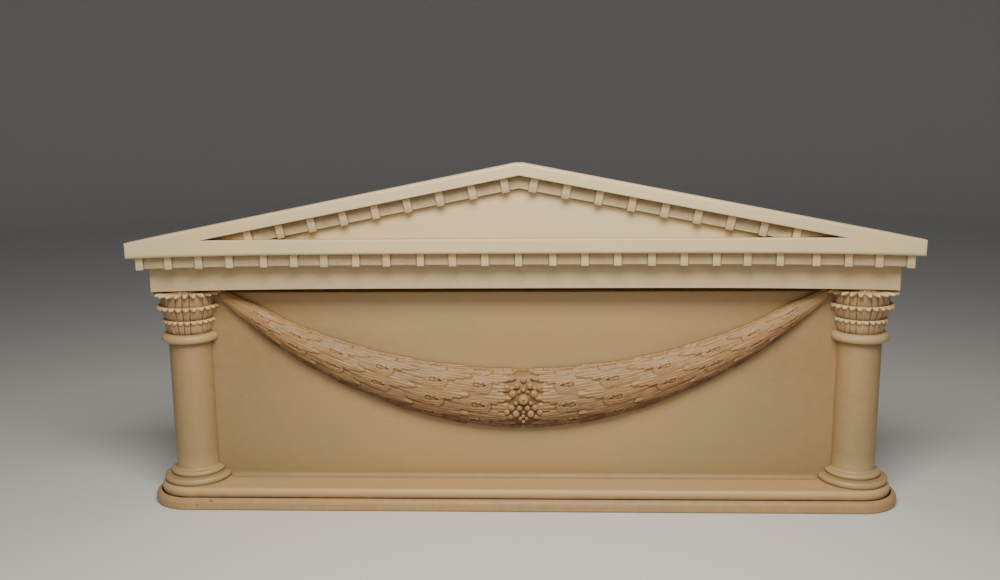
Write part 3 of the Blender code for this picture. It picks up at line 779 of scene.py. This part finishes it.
# Painted shade in the groove, and on the shelf's top round each column's foot and in the corner against the
# panel
def upper_step_painted_shade(co):
    on_top = near(co.z, SHELF_Z, 0.001)
    ring = near(beyond(co), RING_RADIUS - 0.001, 0.004) * (abs(co.x) > COLUMN_X - 0.02)
    wall = near(co.y, PANEL_Y - 0.008, 0.006)
    return max(0.90 * near(co.z, STEP_JOINT, 0.0060), 0.6 * ring * on_top, 0.45 * wall * on_top, 0.08)


bm = moulded_board(rounded_profile(UPPER_RADIUS, STEP_JOINT, high[2], 0.0007, 0.008))
cut_across(bm, 1, [PANEL_Y - 0.006, PANEL_Y - 0.010, PANEL_Y - 0.016])
finish_piece("upper_step", bm, ["plinth_upper"], FOOT_PAINT, glaze_and_shade=upper_step_painted_shade)

# %% [markdown]
# ## The panel
# A plain board stands behind the swag. Its paint is the most uneven, and painted shade darkens it
# towards the columns, high up, in the slit under the frieze, at its foot and along the swag. A fine
# grid over the front holds those changes.

# %% Swag outline, shared by the panel's stains and the carving
SWAG_HALF = COLUMN_X - 0.0609
SWAG_DROP = 0.2496
STATIONS = ((1.0, 0.1086, 1.0, 0.0224), (0.9144, 0.2648, 0.9027, 0.1206), (0.7685, 0.4912, 0.7490, 0.2889),
            (0.5837, 0.7055, 0.5370, 0.4451), (0.3696, 0.8818, 0.3385, 0.5413),
            (0.1751, 0.9720, 0.1595, 0.5873), (0.0, 1.0, 0.0, 0.6014))


def station(along):
    """Smooth reading of the outline's shares, from the end at 0 to the middle at 1."""
    count = len(STATIONS) - 1
    place = min(max(along * count, 0.0), count - 1e-9)
    i = int(place)
    f = place - i
    # Past the middle the outline goes on as its own mirror image
    low_x, low_drop, up_x, up_drop = STATIONS[-2]
    rows = STATIONS + ((-low_x, low_drop, -up_x, up_drop),)
    return [0.5 * (2 * b + (c - a) * f + (2 * a - 5 * b + 4 * c - d) * f * f
                   + (3 * b - a - 3 * c + d) * f ** 3)
            for a, b, c, d in zip(rows[max(i - 1, 0)], rows[i], rows[i + 1], rows[i + 2])]


def band_edges(t):
    """(x, z) of the lower and of the upper edge, t running from the left end to the right."""
    side = -1 if t < 0.5 else 1
    low_x, low_drop, up_x, up_drop = station(1 - abs(2 * t - 1))
    low_edge = side * SWAG_HALF * low_x, UNDER_FRIEZE_Z - SWAG_DROP * low_drop
    return low_edge, (side * SWAG_HALF * up_x, UNDER_FRIEZE_Z - SWAG_DROP * up_drop)


EDGE_SAMPLES = [band_edges(i / 160) for i in range(161)]
LOW_EDGE = np.array([edges[0] for edges in EDGE_SAMPLES])
UP_EDGE = np.array([edges[1] for edges in EDGE_SAMPLES])
print("swag hangs to z", round(float(LOW_EDGE[:, 1].min()), 4))

# %% Panel
low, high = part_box("back_panel")
COVE = 0.008
SLIT_HIGH, SLIT_DEEP = 0.0108, 0.012
FOOT_CROWD, TOP_CROWD = 1.6, 1.3
cove_half = COLUMN_X - RING_RADIUS - 0.0006
GRID_X, GRID_Z = 220, 110
bm, places = grid(GRID_X, GRID_Z)
for vert, column, row in places:
    share, up = column / GRID_X, row / GRID_Z
    # Rows crowd towards the foot, where the cove curls out to the shelf, and under the frieze
    if up < 0.5:
        up = up ** FOOT_CROWD
    else:
        up = 1 - (1 - up) ** TOP_CROWD * (1 - 0.5 ** FOOT_CROWD) / 0.5 ** TOP_CROWD
    x, z = low[0] + (high[0] - low[0]) * share, low[2] + (high[2] - low[2]) * up
    rise = z - low[2]
    curl = 0.0
    if rise < COVE and abs(x) < cove_half:
        curl = COVE - math.sqrt(max(COVE ** 2 - (COVE - rise) ** 2, 0.0))
    # The board stops a little short of the frieze and leaves a dark slit
    slit = SLIT_DEEP if z > high[2] - SLIT_HIGH else 0.0
    vert.co = (x, PANEL_Y - curl + slit, z)
fold_back(bm, WALL_Y)


def panel_painted_shade(co):
    if co.y > PANEL_Y + SLIT_DEEP + 0.002:
        return 0.1
    point = np.array((co.x, co.z))
    to_low = np.sqrt(((LOW_EDGE - point) ** 2).sum(1).min())
    to_up = np.sqrt(((UP_EDGE - point) ** 2).sum(1).min())
    # Painted shade along the swag's edges, black in the slit under the frieze, beside the shafts and at the
    # foot
    swag = max(0.55 * near(to_low, 0.0, 0.014), 0.30 * near(to_up, 0.0, 0.010))
    slit = 1.0 if high[2] - co.z < SLIT_HIGH + 0.0008 else 0.0
    shaft = 0.45 * near(abs(co.x), COLUMN_X - SHAFT, 0.012)
    foot = 0.28 * near(co.z, low[2], 0.020)
    # Broad shade towards the columns and high up, gone again just under the frieze
    side = 0.30 * held((abs(co.x) - 0.20) / 0.30)
    upper = 0.16 * held((co.z - 0.20) / 0.07) * held((high[2] - co.z) / 0.07 - 0.3)
    return max(swag, slit, shaft, foot, min(side + upper, 0.36))


finish_piece("panel_board", bm, ["back_panel"], PANEL_PAINT, glaze_and_shade=panel_painted_shade, even=False)

# %% [markdown]
# ## The columns
# A turner makes each column from one profile: two fat rings at the foot, a plain shaft and a collar.
# Spinning that profile half a turn is the same work, and the flat back is filled at the end.

# %% Columns
def ring_points(radius, z0, height, steps=10):
    bulge = height / 2
    points = []
    for i in range(steps + 1):
        turn = math.pi * i / steps - math.pi / 2
        points.append((radius - bulge + bulge * math.cos(turn), z0 + bulge + bulge * math.sin(turn)))
    return points


low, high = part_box("column_left")
LOWER_HIGH, UPPER_RING, UPPER_HIGH, COLLAR_RING, COLLAR_HIGH = 0.0128, 0.0468, 0.0126, 0.0485, 0.0162
COVE_HIGH = 0.0034
joint = low[2] + LOWER_HIGH - AIR
profile = [(0.0, low[2]), (RING_RADIUS - 0.0030, low[2])]
profile += ring_points(RING_RADIUS, low[2], LOWER_HIGH - AIR)[2:-1]
profile += [(UPPER_RING - 0.0020, joint)] + ring_points(UPPER_RING, joint, UPPER_HIGH - COVE_HIGH)[2:-1]
shaft_foot = joint + UPPER_HIGH + 0.0004
# Above the upper ring the shaft flares out in a soft hollow
for i in range(7):
    turn = math.pi / 2 * i / 6
    flare = 0.0046 * (1 - math.sin(turn))
    profile.append((SHAFT + flare, shaft_foot - (COVE_HIGH + 0.0004) * math.cos(turn)))
collar_foot = high[2] - COLLAR_HIGH
profile += [(SHAFT, shaft_foot + (collar_foot - shaft_foot) * i / 8) for i in range(1, 8)]
profile += [(SHAFT, collar_foot - 0.002), (SHAFT + 0.0005, collar_foot - 0.0006)]
profile += ring_points(COLLAR_RING, collar_foot, COLLAR_HIGH)[:-1]
profile += [(COLLAR_RING - COLLAR_HIGH / 2, high[2]), (0.0, high[2])]
CREASES = ((low[2], 0.45), (joint, 0.40), (shaft_foot - COVE_HIGH, 0.20), (collar_foot, 1.0))


# Painted shade in the creases, against the panel, at the collar's top and all over the plain shaft
def column_painted_shade(co):
    radius = math.hypot(abs(co.x) - COLUMN_X, co.y - PANEL_Y)
    crease = max(shade_and_glaze_amount * near(co.z, z, 0.0030) for z, shade_and_glaze_amount in CREASES)
    against = near(co.y, PANEL_Y, 0.0055) * 0.6
    collar = 0.3 * near(co.z, high[2], 0.002)
    shaft = 0.34 if shaft_foot + 0.002 < co.z < collar_foot - 0.001 else 0.0
    return max(crease * (radius > SHAFT - 0.001), against, collar, shaft)


for name, x in (("left", -COLUMN_X), ("right", COLUMN_X)):
    bm = bmesh.new()
    points = [bm.verts.new((x - radius, ON_PANEL_Y, z)) for radius, z in profile]
    edges = [bm.edges.new(pair) for pair in zip(points, points[1:])]
    bmesh.ops.spin(bm, geom=points + edges, cent=(x, ON_PANEL_Y, 0), axis=(0, 0, 1), angle=math.pi, steps=56,
                   use_merge=False)
    merge_and_close(bm)
    finish_piece("turned_column_" + name, bm, ["column_" + name], COLUMN_PAINT,
                 glaze_and_shade=column_painted_shade, sharp=50)

# %% [markdown]
# ## The capitals
# Three tiers of upright leaves stand round each capital. Seen close, every fourth gap between two
# leaves is a raised rib, so the leaves stand in fours. Each tip curls out over a shaded hollow. A
# grid is bent round the column and pushed in and out by a rule for one leaf, repeated.

# %% Capital rule
LEAVES = 12
ACROSS = 18
CAPITAL_FOOT, CAPITAL_RADIUS = 0.0393, 0.0600
TIERS = ((0.750, 0.309, 0.687), (0.892, 0.615, 0.797), (1.000, 0.908, 0.640))
# One tier's path, from its foot to the hollow above its tip: share of the rise, share of the flare,
# how much of it follows the leaf's form, droop of the lip in metres, and how dark the glaze and painted shade
# lie
LEAF_PATH = (
    (0, 0, 0.10, 0, 0.95), (0.12, 0.03, 0.16, 0, 0.70), (0.28, 0.08, 0.22, 0, 0.50),
    (0.45, 0.15, 0.28, 0, 0.42), (0.60, 0.24, 0.36, 0, 0.45), (0.72, 0.36, 0.50, 0.0002, 0.60),
    (0.79, 0.52, 0.72, 0.0006, 0.90), (0.81, 0.74, 0.90, 0.0014, 0.95), (0.82, 0.92, 1.00, 0.0022, 0.60),
    (0.87, 1.00, 1.00, 0.0024, 0.10), (0.93, 0.98, 1.00, 0.0018, 0), (0.98, 0.88, 0.96, 0.0010, 0.00),
    (1.00, 0.50, 0.80, 0.0006, 0.15), (1.00, 0.02, 0.20, 0.0008, 0.60))
CAPITAL_HIGH, SCOOP_DEEP, GAP_DEEP, RIB_HIGH = 0.0802, 0.0012, 0.0019, 0.0012


def leaf_form(turn):
    """At an angle round the capital: the leaf's fullness, its scoop, the gap, the raised rib, its width."""
    place = turn / (math.pi / LEAVES)
    number = math.floor(place)
    across = (place - number) * 2 - 1
    fullness = max(1 - abs(across) ** 1.9, 0.0)
    scoop = 0.30 * (1 - across ** 2)
    gap = max(0.0, 1 - (1 - abs(across)) / 0.22)
    rib_side = (number % 4 == 3 and across > 0) or (number % 4 == 0 and across < 0)
    wide = 1.06 if number % 4 in (0, 3) else 0.97
    return (fullness, scoop, 0.0, gap, wide) if rib_side else (fullness, scoop, gap, 0.0, wide)


def capital_piece(name, x, shift):
    steps = LEAVES * ACROSS
    rows = []
    z0, hollow = high[2] + AIR, CAPITAL_FOOT - 0.001
    for tip, rise, above in TIERS:
        tip_z = high[2] + CAPITAL_HIGH * rise
        top_radius, flare_to = CAPITAL_RADIUS * above, CAPITAL_RADIUS * tip
        rows += [(z0, tip_z, hollow, flare_to, top_radius) + path_row for path_row in LEAF_PATH]
        z0, hollow = tip_z - 0.0010, top_radius - 0.0010
    count = len(rows) + 3
    bm, places = grid(steps, count - 1)
    mark = glaze_and_shade_layer(bm)
    for vert, column, row in places:
        angle = math.pi * column / steps
        fullness, scoop, gap, rib, wide = leaf_form(angle + shift)
        # Painted shade at the foot and in the hollow under the frieze
        if row == 0:
            radius, z, shade_and_glaze_amount = 0.0, high[2] + AIR, 0.5
        elif row >= count - 2:
            radius, z, shade_and_glaze_amount = (hollow if row == count - 2 else 0.0), UNDER_FRIEZE_Z, 0.9
        else:
            z_a, z_b, inner, outer, over, rises, flares, follows, droop, shade_and_glaze_amount = rows[row - 1]
            body = inner + (over - inner) * rises
            flare = (outer - body) * flares * ((1 - follows) + follows * fullness * wide)
            cut = SCOOP_DEEP * scoop * (1 - flares) + GAP_DEEP * gap * (1 - 0.4 * flares)
            radius = body + flare - cut + RIB_HIGH * rib
            z = z_a + (z_b - z_a) * rises - droop * fullness
            # Glaze and painted shade deeper in the gaps between leaves, less on the ribs
            shade_and_glaze_amount = min(1.0, shade_and_glaze_amount + 0.55 * gap + (0.25 if rib > 0.2 else 0.0) - 0.45 * rib)
        turn = math.pi + angle
        vert.co = (x + radius * math.cos(turn), ON_PANEL_Y + radius * math.sin(turn), z)
        vert[mark] = shade_and_glaze_amount
    merge_and_close(bm)
    finish_piece("leaf_capital_" + name, bm, ["capital_" + name], CAPITAL_PAINT, sharp=75,
                 even=False)


low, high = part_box("column_left")
capital_piece("left", -COLUMN_X, math.radians(-6.5))
capital_piece("right", COLUMN_X, math.radians(-18.0))

# %% [markdown]
# ## The swag
# The swag is a long half-round band of overlapping leaves that all point to the berries in the
# middle. They lie in rows: each leaf has a pointed tip, a stepped edge of three small scallops, an
# almond-shaped eye with a raised rim, and a large lobe that curls round the eye. The band is a grid;
# the leaves are laid on it like paper, from the lowest row up and from the middle out, each one
# covering the last.

# %% Lay out the band
LONG, ROUND = 950, 100
ROW_ANGLE = math.radians(43.5)
ROW_WIDE = 29.0
ROW_CENTRES = [math.radians(angle) for angle in (11.5, 55.0, 98.5, 142.0, 185.5)]
TIPS = (0.019, 0.092, 0.186, 0.280, 0.3635, 0.434, 0.495)
EYES = (0.066, 0.146, 0.240, 0.326, 0.398, 0.472)
CLUSTER_X = 0.0045
END_THICK, BULGE, RIM_THICK = 0.012, 0.015, 0.0030


def band_surface(inset):
    """The plain band as a grid of points: along it from the left, round it from the lower edge up."""
    turns = np.linspace(0.0, math.pi, ROUND + 1)
    points = np.zeros((LONG + 1, ROUND + 1, 3))
    for i in range(LONG + 1):
        t = i / LONG
        (low_x, low_z), (up_x, up_z) = band_edges(t)
        along = 1 - abs(2 * t - 1)
        sunk = inset * (0.35 + 0.65 * along)
        thick = END_THICK + BULGE * math.sin(math.pi / 2 * along) - sunk
        tall = math.hypot(up_x - low_x, up_z - low_z)
        share = 0.5 - 0.5 * np.cos(turns) * (1 - 2 * sunk / tall)
        points[i, :, 0] = low_x + (up_x - low_x) * share
        points[i, :, 2] = low_z + (up_z - low_z) * share
        points[i, :, 1] = ON_PANEL_Y - RIM_THICK - (thick - RIM_THICK) * np.sin(turns)
    return points, turns


BAND, TURNS = band_surface(0.0024)
spine = BAND[:, ROUND // 2, :]
walk = np.concatenate([[0.0], np.cumsum(np.linalg.norm(np.diff(spine[:, [0, 2]], axis=0), axis=1))])
walk -= np.interp(CLUSTER_X, spine[:, 0], walk)
print("band is", round(float(walk[-1] - walk[0]), 3), "m long along its crown")

# %% [markdown]
# One leaf is three shapes laid over each other, all in millimetres from its own tip. A round lobe
# comes first, with ribs that bend round the eye and run straight behind it. The blade covers half of
# it, with a pointed tip, three small scallops and a waist beside the eye. The eye comes last: an
# almond with a raised rim. A furrow runs outside every edge; glaze in patches and painted shade darken
# it, and painted shade darkens the rib valleys and the inside of the eye.

# %% One leaf
def grown(mask):
    """The shape and the points next to it."""
    wide = mask.copy()
    wide[1:] |= mask[:-1]
    wide[:-1] |= mask[1:]
    wide[:, 1:] |= mask[:, :-1]
    wide[:, :-1] |= mask[:, 1:]
    return wide


def domed(inside, over):
    """Rises from 0 at an edge to 1 at this distance within it, in a round curve."""
    return np.sqrt(np.clip(1 - np.clip(1 - inside / over, 0, 1) ** 2, 0, 1))


def lay(height, glaze_and_shade_mix, mask, shape, own_shade, furrow):
    """Lays one shape over the rest and cuts a furrow round it. The furrow and its edge are darkened in
    patches, as glaze and painted shade.
    """
    moat = grown(mask) & ~mask
    beside = grown(grown(mask)) & ~mask
    height = np.where(moat, height - furrow, height)
    glaze_and_shade_mix = np.where(beside, np.maximum(glaze_and_shade_mix, 0.30 + 0.25 * PATCHES), glaze_and_shade_mix)
    glaze_and_shade_mix = np.where(moat, 0.30 + 0.70 * PATCHES, glaze_and_shade_mix)
    return np.where(mask, shape, height), np.where(mask, own_shade, glaze_and_shade_mix)


EYE_SIDE, LOBE_SIDE, EYE_LONG = 0.47 * ROW_WIDE, 0.49 * ROW_WIDE, 19.0
RIB_PITCH, GRAIN_PITCH, ROW_STEP = 3.5, 4.6, 0.6
# Where each scallop starts, as a share of the way to the eye, and its half width in rows
SCALLOPS = ((0.0, 0.13), (0.20, 0.23), (0.46, 0.33), (0.74, 0.42))


def lay_leaf(height, glaze_and_shade_mix, along, across, eye, long, level):
    side = np.abs(across)
    past = along - eye
    behind, before = np.maximum(past, 0), np.minimum(past, 0)
    run = np.clip(past, 0, EYE_LONG)
    half_eye = 1.2 + 0.13 * run
    rim = np.hypot(past - run, side - EYE_SIDE) - half_eye
    flow = np.hypot(before, side - EYE_SIDE) - half_eye + 0.05 * np.maximum(past - EYE_LONG, 0)
    # The lobe bends round the eye and thins out behind it
    lobe_in = 10.5 - 0.045 * behind - np.hypot(before, side - LOBE_SIDE)
    ribs = np.cos(2 * math.pi * (flow - 1.4) / RIB_PITCH) * np.clip(lobe_in / 2.0, 0, 1)
    shape = level + 2.2 + 1.4 * domed(lobe_in, 2.4) + 0.95 * ribs - 0.030 * np.clip(past, -10, 90)
    mask = (lobe_in > 0) & (past < 1.25 * long)
    height, glaze_and_shade_mix = lay(height, glaze_and_shade_mix, mask, shape, 0.70 * np.clip(-ribs, 0, 1) ** 2, 1.2)
    # The blade: a tip, then three scallops, and a waist beside the eye
    half = np.zeros_like(along)
    for start, wide in SCALLOPS:
        half = np.maximum(half, wide * ROW_WIDE * np.clip((along - start * eye) / 6.0, 0, 1) ** 0.6)
    waist = 1 - 0.26 * np.exp(-((past - 8) / 13.0) ** 2)
    blade_in = half * waist - side
    spread = side * (1 + 0.35 * np.clip(1 - along / eye, 0, 1)) / waist + 0.7 * np.sin(along / 15.0 + eye)
    grain = np.cos(2 * math.pi * spread / GRAIN_PITCH) * np.clip(blade_in / 2.5, 0, 1)
    tilt = 2.6 * np.clip(1 - along / long, -0.3, 1)
    shape = level + 1.5 + tilt + domed(blade_in, 2.6) + 0.80 * grain + 0.4 * np.exp(-(side / 1.4) ** 2)
    mask = (blade_in > 0) & (along > 0) & (along < 1.9 * long)
    height, glaze_and_shade_mix = lay(height, glaze_and_shade_mix, mask, shape, 0.65 * np.clip(-grain, 0, 1) ** 2, 1.0)
    # The eye: a raised rim, then its floor, with a deep line just inside the rim. Painted shade darkens the
    # floor and, fully, the line
    for where, rise, own_shade in (((rim > 0) & (rim < 2.0), 4.4, 0.0), (rim <= 0.2, 2.2, 0.35),
                               ((rim <= 0.2) & (rim > -1.3), 0.2, 1.0)):
        height, glaze_and_shade_mix = np.where(where, level + rise, height), np.where(where, own_shade, glaze_and_shade_mix)
    return height, glaze_and_shade_mix


# %% Lay all the leaves
# The berries fill an oval, so the outer rows reach closer to the middle
FIRST_TIP_SHIFT = (0.0165, 0.004, 0.0, 0.006, 0.0165)
RELIEF = np.zeros((LONG + 1, ROUND + 1))
SWAG_GLAZE_AND_SHADE = np.zeros_like(RELIEF)
PATCHES = np.array([[CARE.random() for j in range(ROUND + 1)] for i in range(LONG + 1)])
AROUND = [(i, j) for i in (-1, 0, 1) for j in (-1, 0, 1)]
for reach in (1, 2, 4, 3, 1):
    PATCHES = sum(np.roll(PATCHES, (i * reach, j * reach), (0, 1)) for i, j in AROUND) / 9
PATCHES = np.clip(0.5 + 0.35 * (PATCHES - PATCHES.mean()) / PATCHES.std(), 0, 1)
FLAT = np.zeros_like(RELIEF)
for way in (-1, 1):
    distance = walk * way
    # The ground under the leaves starts darkened as painted shade
    half_height, half_glaze_and_shade = np.zeros_like(RELIEF), np.full_like(RELIEF, 0.45)
    for row, centre in enumerate(ROW_CENTRES):
        across = (TURNS[None, :] - centre) / ROW_ANGLE * ROW_WIDE + FLAT
        # A short leaf between the rows closes the ground beside the berries
        bed = (distance[:, None] - 0.013) * 1000 + FLAT
        half_height, half_glaze_and_shade = lay_leaf(half_height, half_glaze_and_shade, bed, across - 0.5 * ROW_WIDE, 40.0, 60.0,
                                           ROW_STEP * row - 1.6)
        for number, eye_at in enumerate(EYES):
            nudge = CARE.uniform(-1.5, 1.5)
            long = (TIPS[number + 1] - TIPS[number]) * 1000
            tip = TIPS[number] - (FIRST_TIP_SHIFT[row] if number == 0 else 0.0)
            along = (distance[:, None] - tip) * 1000 - nudge * (number > 0) + FLAT
            half_height, half_glaze_and_shade = lay_leaf(half_height, half_glaze_and_shade, along, across, (eye_at - tip) * 1000,
                                               long, ROW_STEP * row)
    here = (distance > 0)[:, None]
    RELIEF = np.where(here, half_height, RELIEF)
    SWAG_GLAZE_AND_SHADE = np.where(here, half_glaze_and_shade, SWAG_GLAZE_AND_SHADE)
# Past the last leaf the carving runs out in plain grooves
past_leaves = np.clip((np.abs(walk) - 0.490) / 0.03, 0, 1)[:, None]
RELIEF = RELIEF * (1 - past_leaves) + (2.4 + 0.5 * np.cos(TURNS[None, :] * 9)) * past_leaves
SWAG_GLAZE_AND_SHADE = SWAG_GLAZE_AND_SHADE * (1 - past_leaves) + 0.15 * past_leaves
# Painted shade: the underside is darker, as it gets less light from above
underside_shade = np.clip(1 - TURNS[None, :] / math.radians(92), 0, 1)
SWAG_GLAZE_AND_SHADE = np.clip(SWAG_GLAZE_AND_SHADE + 0.95 * underside_shade ** 0.9 * (1 - 0.75 * past_leaves), 0, 1)
RELIEF = (sum(np.roll(RELIEF, way, axis) for axis in (0, 1) for way in (1, -1)) + 4 * RELIEF) / 8
print("relief from", round(float(RELIEF.min()), 2), "to", round(float(RELIEF.max()), 2), "mm")

# %% Build the carved band
def push_out(points, relief):
    """Moves each point along the band's own outward direction."""
    outward = np.cross(np.gradient(points, axis=0), np.gradient(points, axis=1))
    outward /= np.linalg.norm(outward, axis=2, keepdims=True) + 1e-12
    if outward[LONG // 2, ROUND // 2, 1] > 0:
        outward = -outward
    size = 0.42 + 0.58 * np.sin(np.linspace(0, math.pi, LONG + 1))[:, None, None]
    return points + outward * relief[:, :, None] * 0.001 * size


CARVED = push_out(BAND, RELIEF)
CARVED[:, :, 1] = np.minimum(CARVED[:, :, 1], PANEL_Y - 0.0006)
CARVED[:, :, 2] = np.minimum(CARVED[:, :, 2], UNDER_FRIEZE_Z)
CARVED[:, :, 0] = np.clip(CARVED[:, :, 0], -SWAG_HALF, SWAG_HALF)
bm, places = grid(LONG, ROUND)
mark = glaze_and_shade_layer(bm)
for vert, i, j in places:
    vert.co = CARVED[i, j]
    vert[mark] = SWAG_GLAZE_AND_SHADE[i, j]
# The band's back rim against the panel is fully darkened: painted shade
for vert in fold_back(bm, ON_PANEL_Y):
    vert[mark] = 1.0
finish_piece("leaf_swag", bm, ["swag"], CARVING_PAINT, sharp=180, even=False)

# %% [markdown]
# ## The berries
# Round balls of several sizes fill the middle of the swag, each with a small drilled dot at its
# front. A ball is a UV sphere turned so that its pole looks out, with the pole pushed in.

# %% Berries
CLUSTER_HIGH = 0.0874
BERRIES = ((0.000, 1.000, 0.065), (0.129, 0.891, 0.064), (0.320, 0.864, 0.063), (0.207, 0.743, 0.074),
           (0.000, 0.815, 0.046), (0.087, 0.769, 0.035), (0.000, 0.633, 0.110), (0.145, 0.550, 0.042),
           (0.228, 0.459, 0.059), (0.072, 0.454, 0.057), (0.320, 0.363, 0.057), (0.146, 0.334, 0.071),
           (0.000, 0.363, 0.035), (0.000, 0.276, 0.040), (0.064, 0.221, 0.037), (0.000, 0.152, 0.040))


def band_front(x, z):
    """y of the carved band's surface at this x and z."""
    column = BAND[int(np.argmin(np.abs(spine[:, 0] - x)))]
    return float(np.interp(z, column[:, 2], column[:, 1]))


bm = bmesh.new()
mark = glaze_and_shade_layer(bm)
foot = float(LOW_EDGE[:, 1].min())
for x_share, rise, size in BERRIES:
    for way in ((1,) if x_share == 0 else (-1, 1)):
        radius = CLUSTER_HIGH * size * CARE.uniform(0.96, 1.04)
        x = CLUSTER_X + way * CLUSTER_HIGH * x_share + CARE.uniform(-0.0003, 0.0003)
        z = foot + CLUSTER_HIGH * rise
        y = band_front(x, z) - 0.0012 - 0.45 * radius
        made = bmesh.ops.create_uvsphere(bm, u_segments=20, v_segments=14, radius=radius)["verts"]
        top = max(made, key=lambda vert: vert.co.z)
        near_top = [edge.other_vert(top) for edge in top.link_edges]
        # Painted shade: each ball darker towards its back, and fully dark in its drilled dot
        for vert in made:
            vert[mark] = float(np.clip((0.25 - vert.co.z / radius) * 1.1, 0, 1))
        top.co.z -= 0.55 * radius
        top[mark] = 1.0
        for vert in near_top:
            vert.co.x *= 0.72
            vert.co.y *= 0.72
            vert.co.z -= 0.03 * radius
            vert[mark] = 0.35
        tip_over = Matrix.Rotation(math.radians(90 + CARE.uniform(-8, 8)), 3, "X")
        turned = tip_over @ Matrix.Rotation(CARE.uniform(-0.1, 0.1), 3, "Y")
        bmesh.ops.rotate(bm, verts=made, cent=(0, 0, 0), matrix=turned)
        bmesh.ops.translate(bm, verts=made, vec=(x, y, z))
finish_piece("berry_cluster", bm, ["swag"], CARVING_PAINT, sharp=60, even=False)

# %% [markdown]
# ## Floor and light
# A plain pale floor curves up into a plain wall all round, so nothing draws the eye from the piece.
# The light is a wide soft panel above and in front, weaker light from the front, and a dim room.

# %% Floor
bm = bmesh.new()
FLOOR_HALF, BEND, WALL_HIGH = 5.0, 1.5, 4.0
bends = [math.pi / 2 * i / 12 for i in range(13)]
profile = [(0.0, 0.0), (FLOOR_HALF / 2, 0.0)]
profile += [(FLOOR_HALF + BEND * math.sin(turn), BEND * (1 - math.cos(turn))) for turn in bends]
profile += [(FLOOR_HALF + BEND, WALL_HIGH)]
points = [bm.verts.new((radius, 0.0, z)) for radius, z in profile]
edges = [bm.edges.new(pair) for pair in zip(points, points[1:])]
bmesh.ops.spin(bm, geom=points + edges, cent=(0, 0, 0), axis=(0, 0, 1), angle=2 * math.pi, steps=64,
               use_merge=True)
bmesh.ops.remove_doubles(bm, verts=bm.verts, dist=LOOSE)
bmesh.ops.recalc_face_normals(bm, faces=bm.faces)
if sum(face.normal.z for face in bm.faces) < 0:
    bmesh.ops.reverse_faces(bm, faces=bm.faces)
mesh = bpy.data.meshes.new("studio_floor")
bm.to_mesh(mesh)
bm.free()
mesh.shade_smooth()
floor = bpy.data.objects.new("studio_floor", mesh)
bpy.context.scene.collection.objects.link(floor)
grey = bpy.data.materials.new("pale_floor")
grey.use_nodes = True
wall_shader = grey.node_tree.nodes["Principled BSDF"]
wall_shader.inputs["Base Color"].default_value = (0.70, 0.69, 0.67, 1)
wall_shader.inputs["Roughness"].default_value = 0.8
mesh.materials.append(grey)
print("floor ready")

# %% Lights
def soft_light(name, spot, aim, size, power, tint):
    data = bpy.data.lights.new(name, "AREA")
    data.shape = "RECTANGLE"
    data.size, data.size_y = size
    data.energy = power
    data.color = tint
    made = bpy.data.objects.new(name, data)
    made.location = spot
    made.rotation_euler = (Vector(aim) - Vector(spot)).to_track_quat("-Z", "Y").to_euler()
    bpy.context.scene.collection.objects.link(made)


soft_light("key_panel", (0.05, -0.95, 1.42), (0.0, 0.0, 0.38), (1.1, 0.6), 33, (1.0, 0.95, 0.88))
soft_light("front_fill", (0.0, -2.2, 1.35), (0.0, 0.0, 0.20), (0.7, 0.4), 7, (1.0, 0.97, 0.93))
room = bpy.data.worlds.new("dim_room")
room.use_nodes = True
room.node_tree.nodes["Background"].inputs["Color"].default_value = (0.95, 0.97, 1.0, 1)
room.node_tree.nodes["Background"].inputs["Strength"].default_value = 0.10
bpy.context.scene.world = room
print("lights ready")
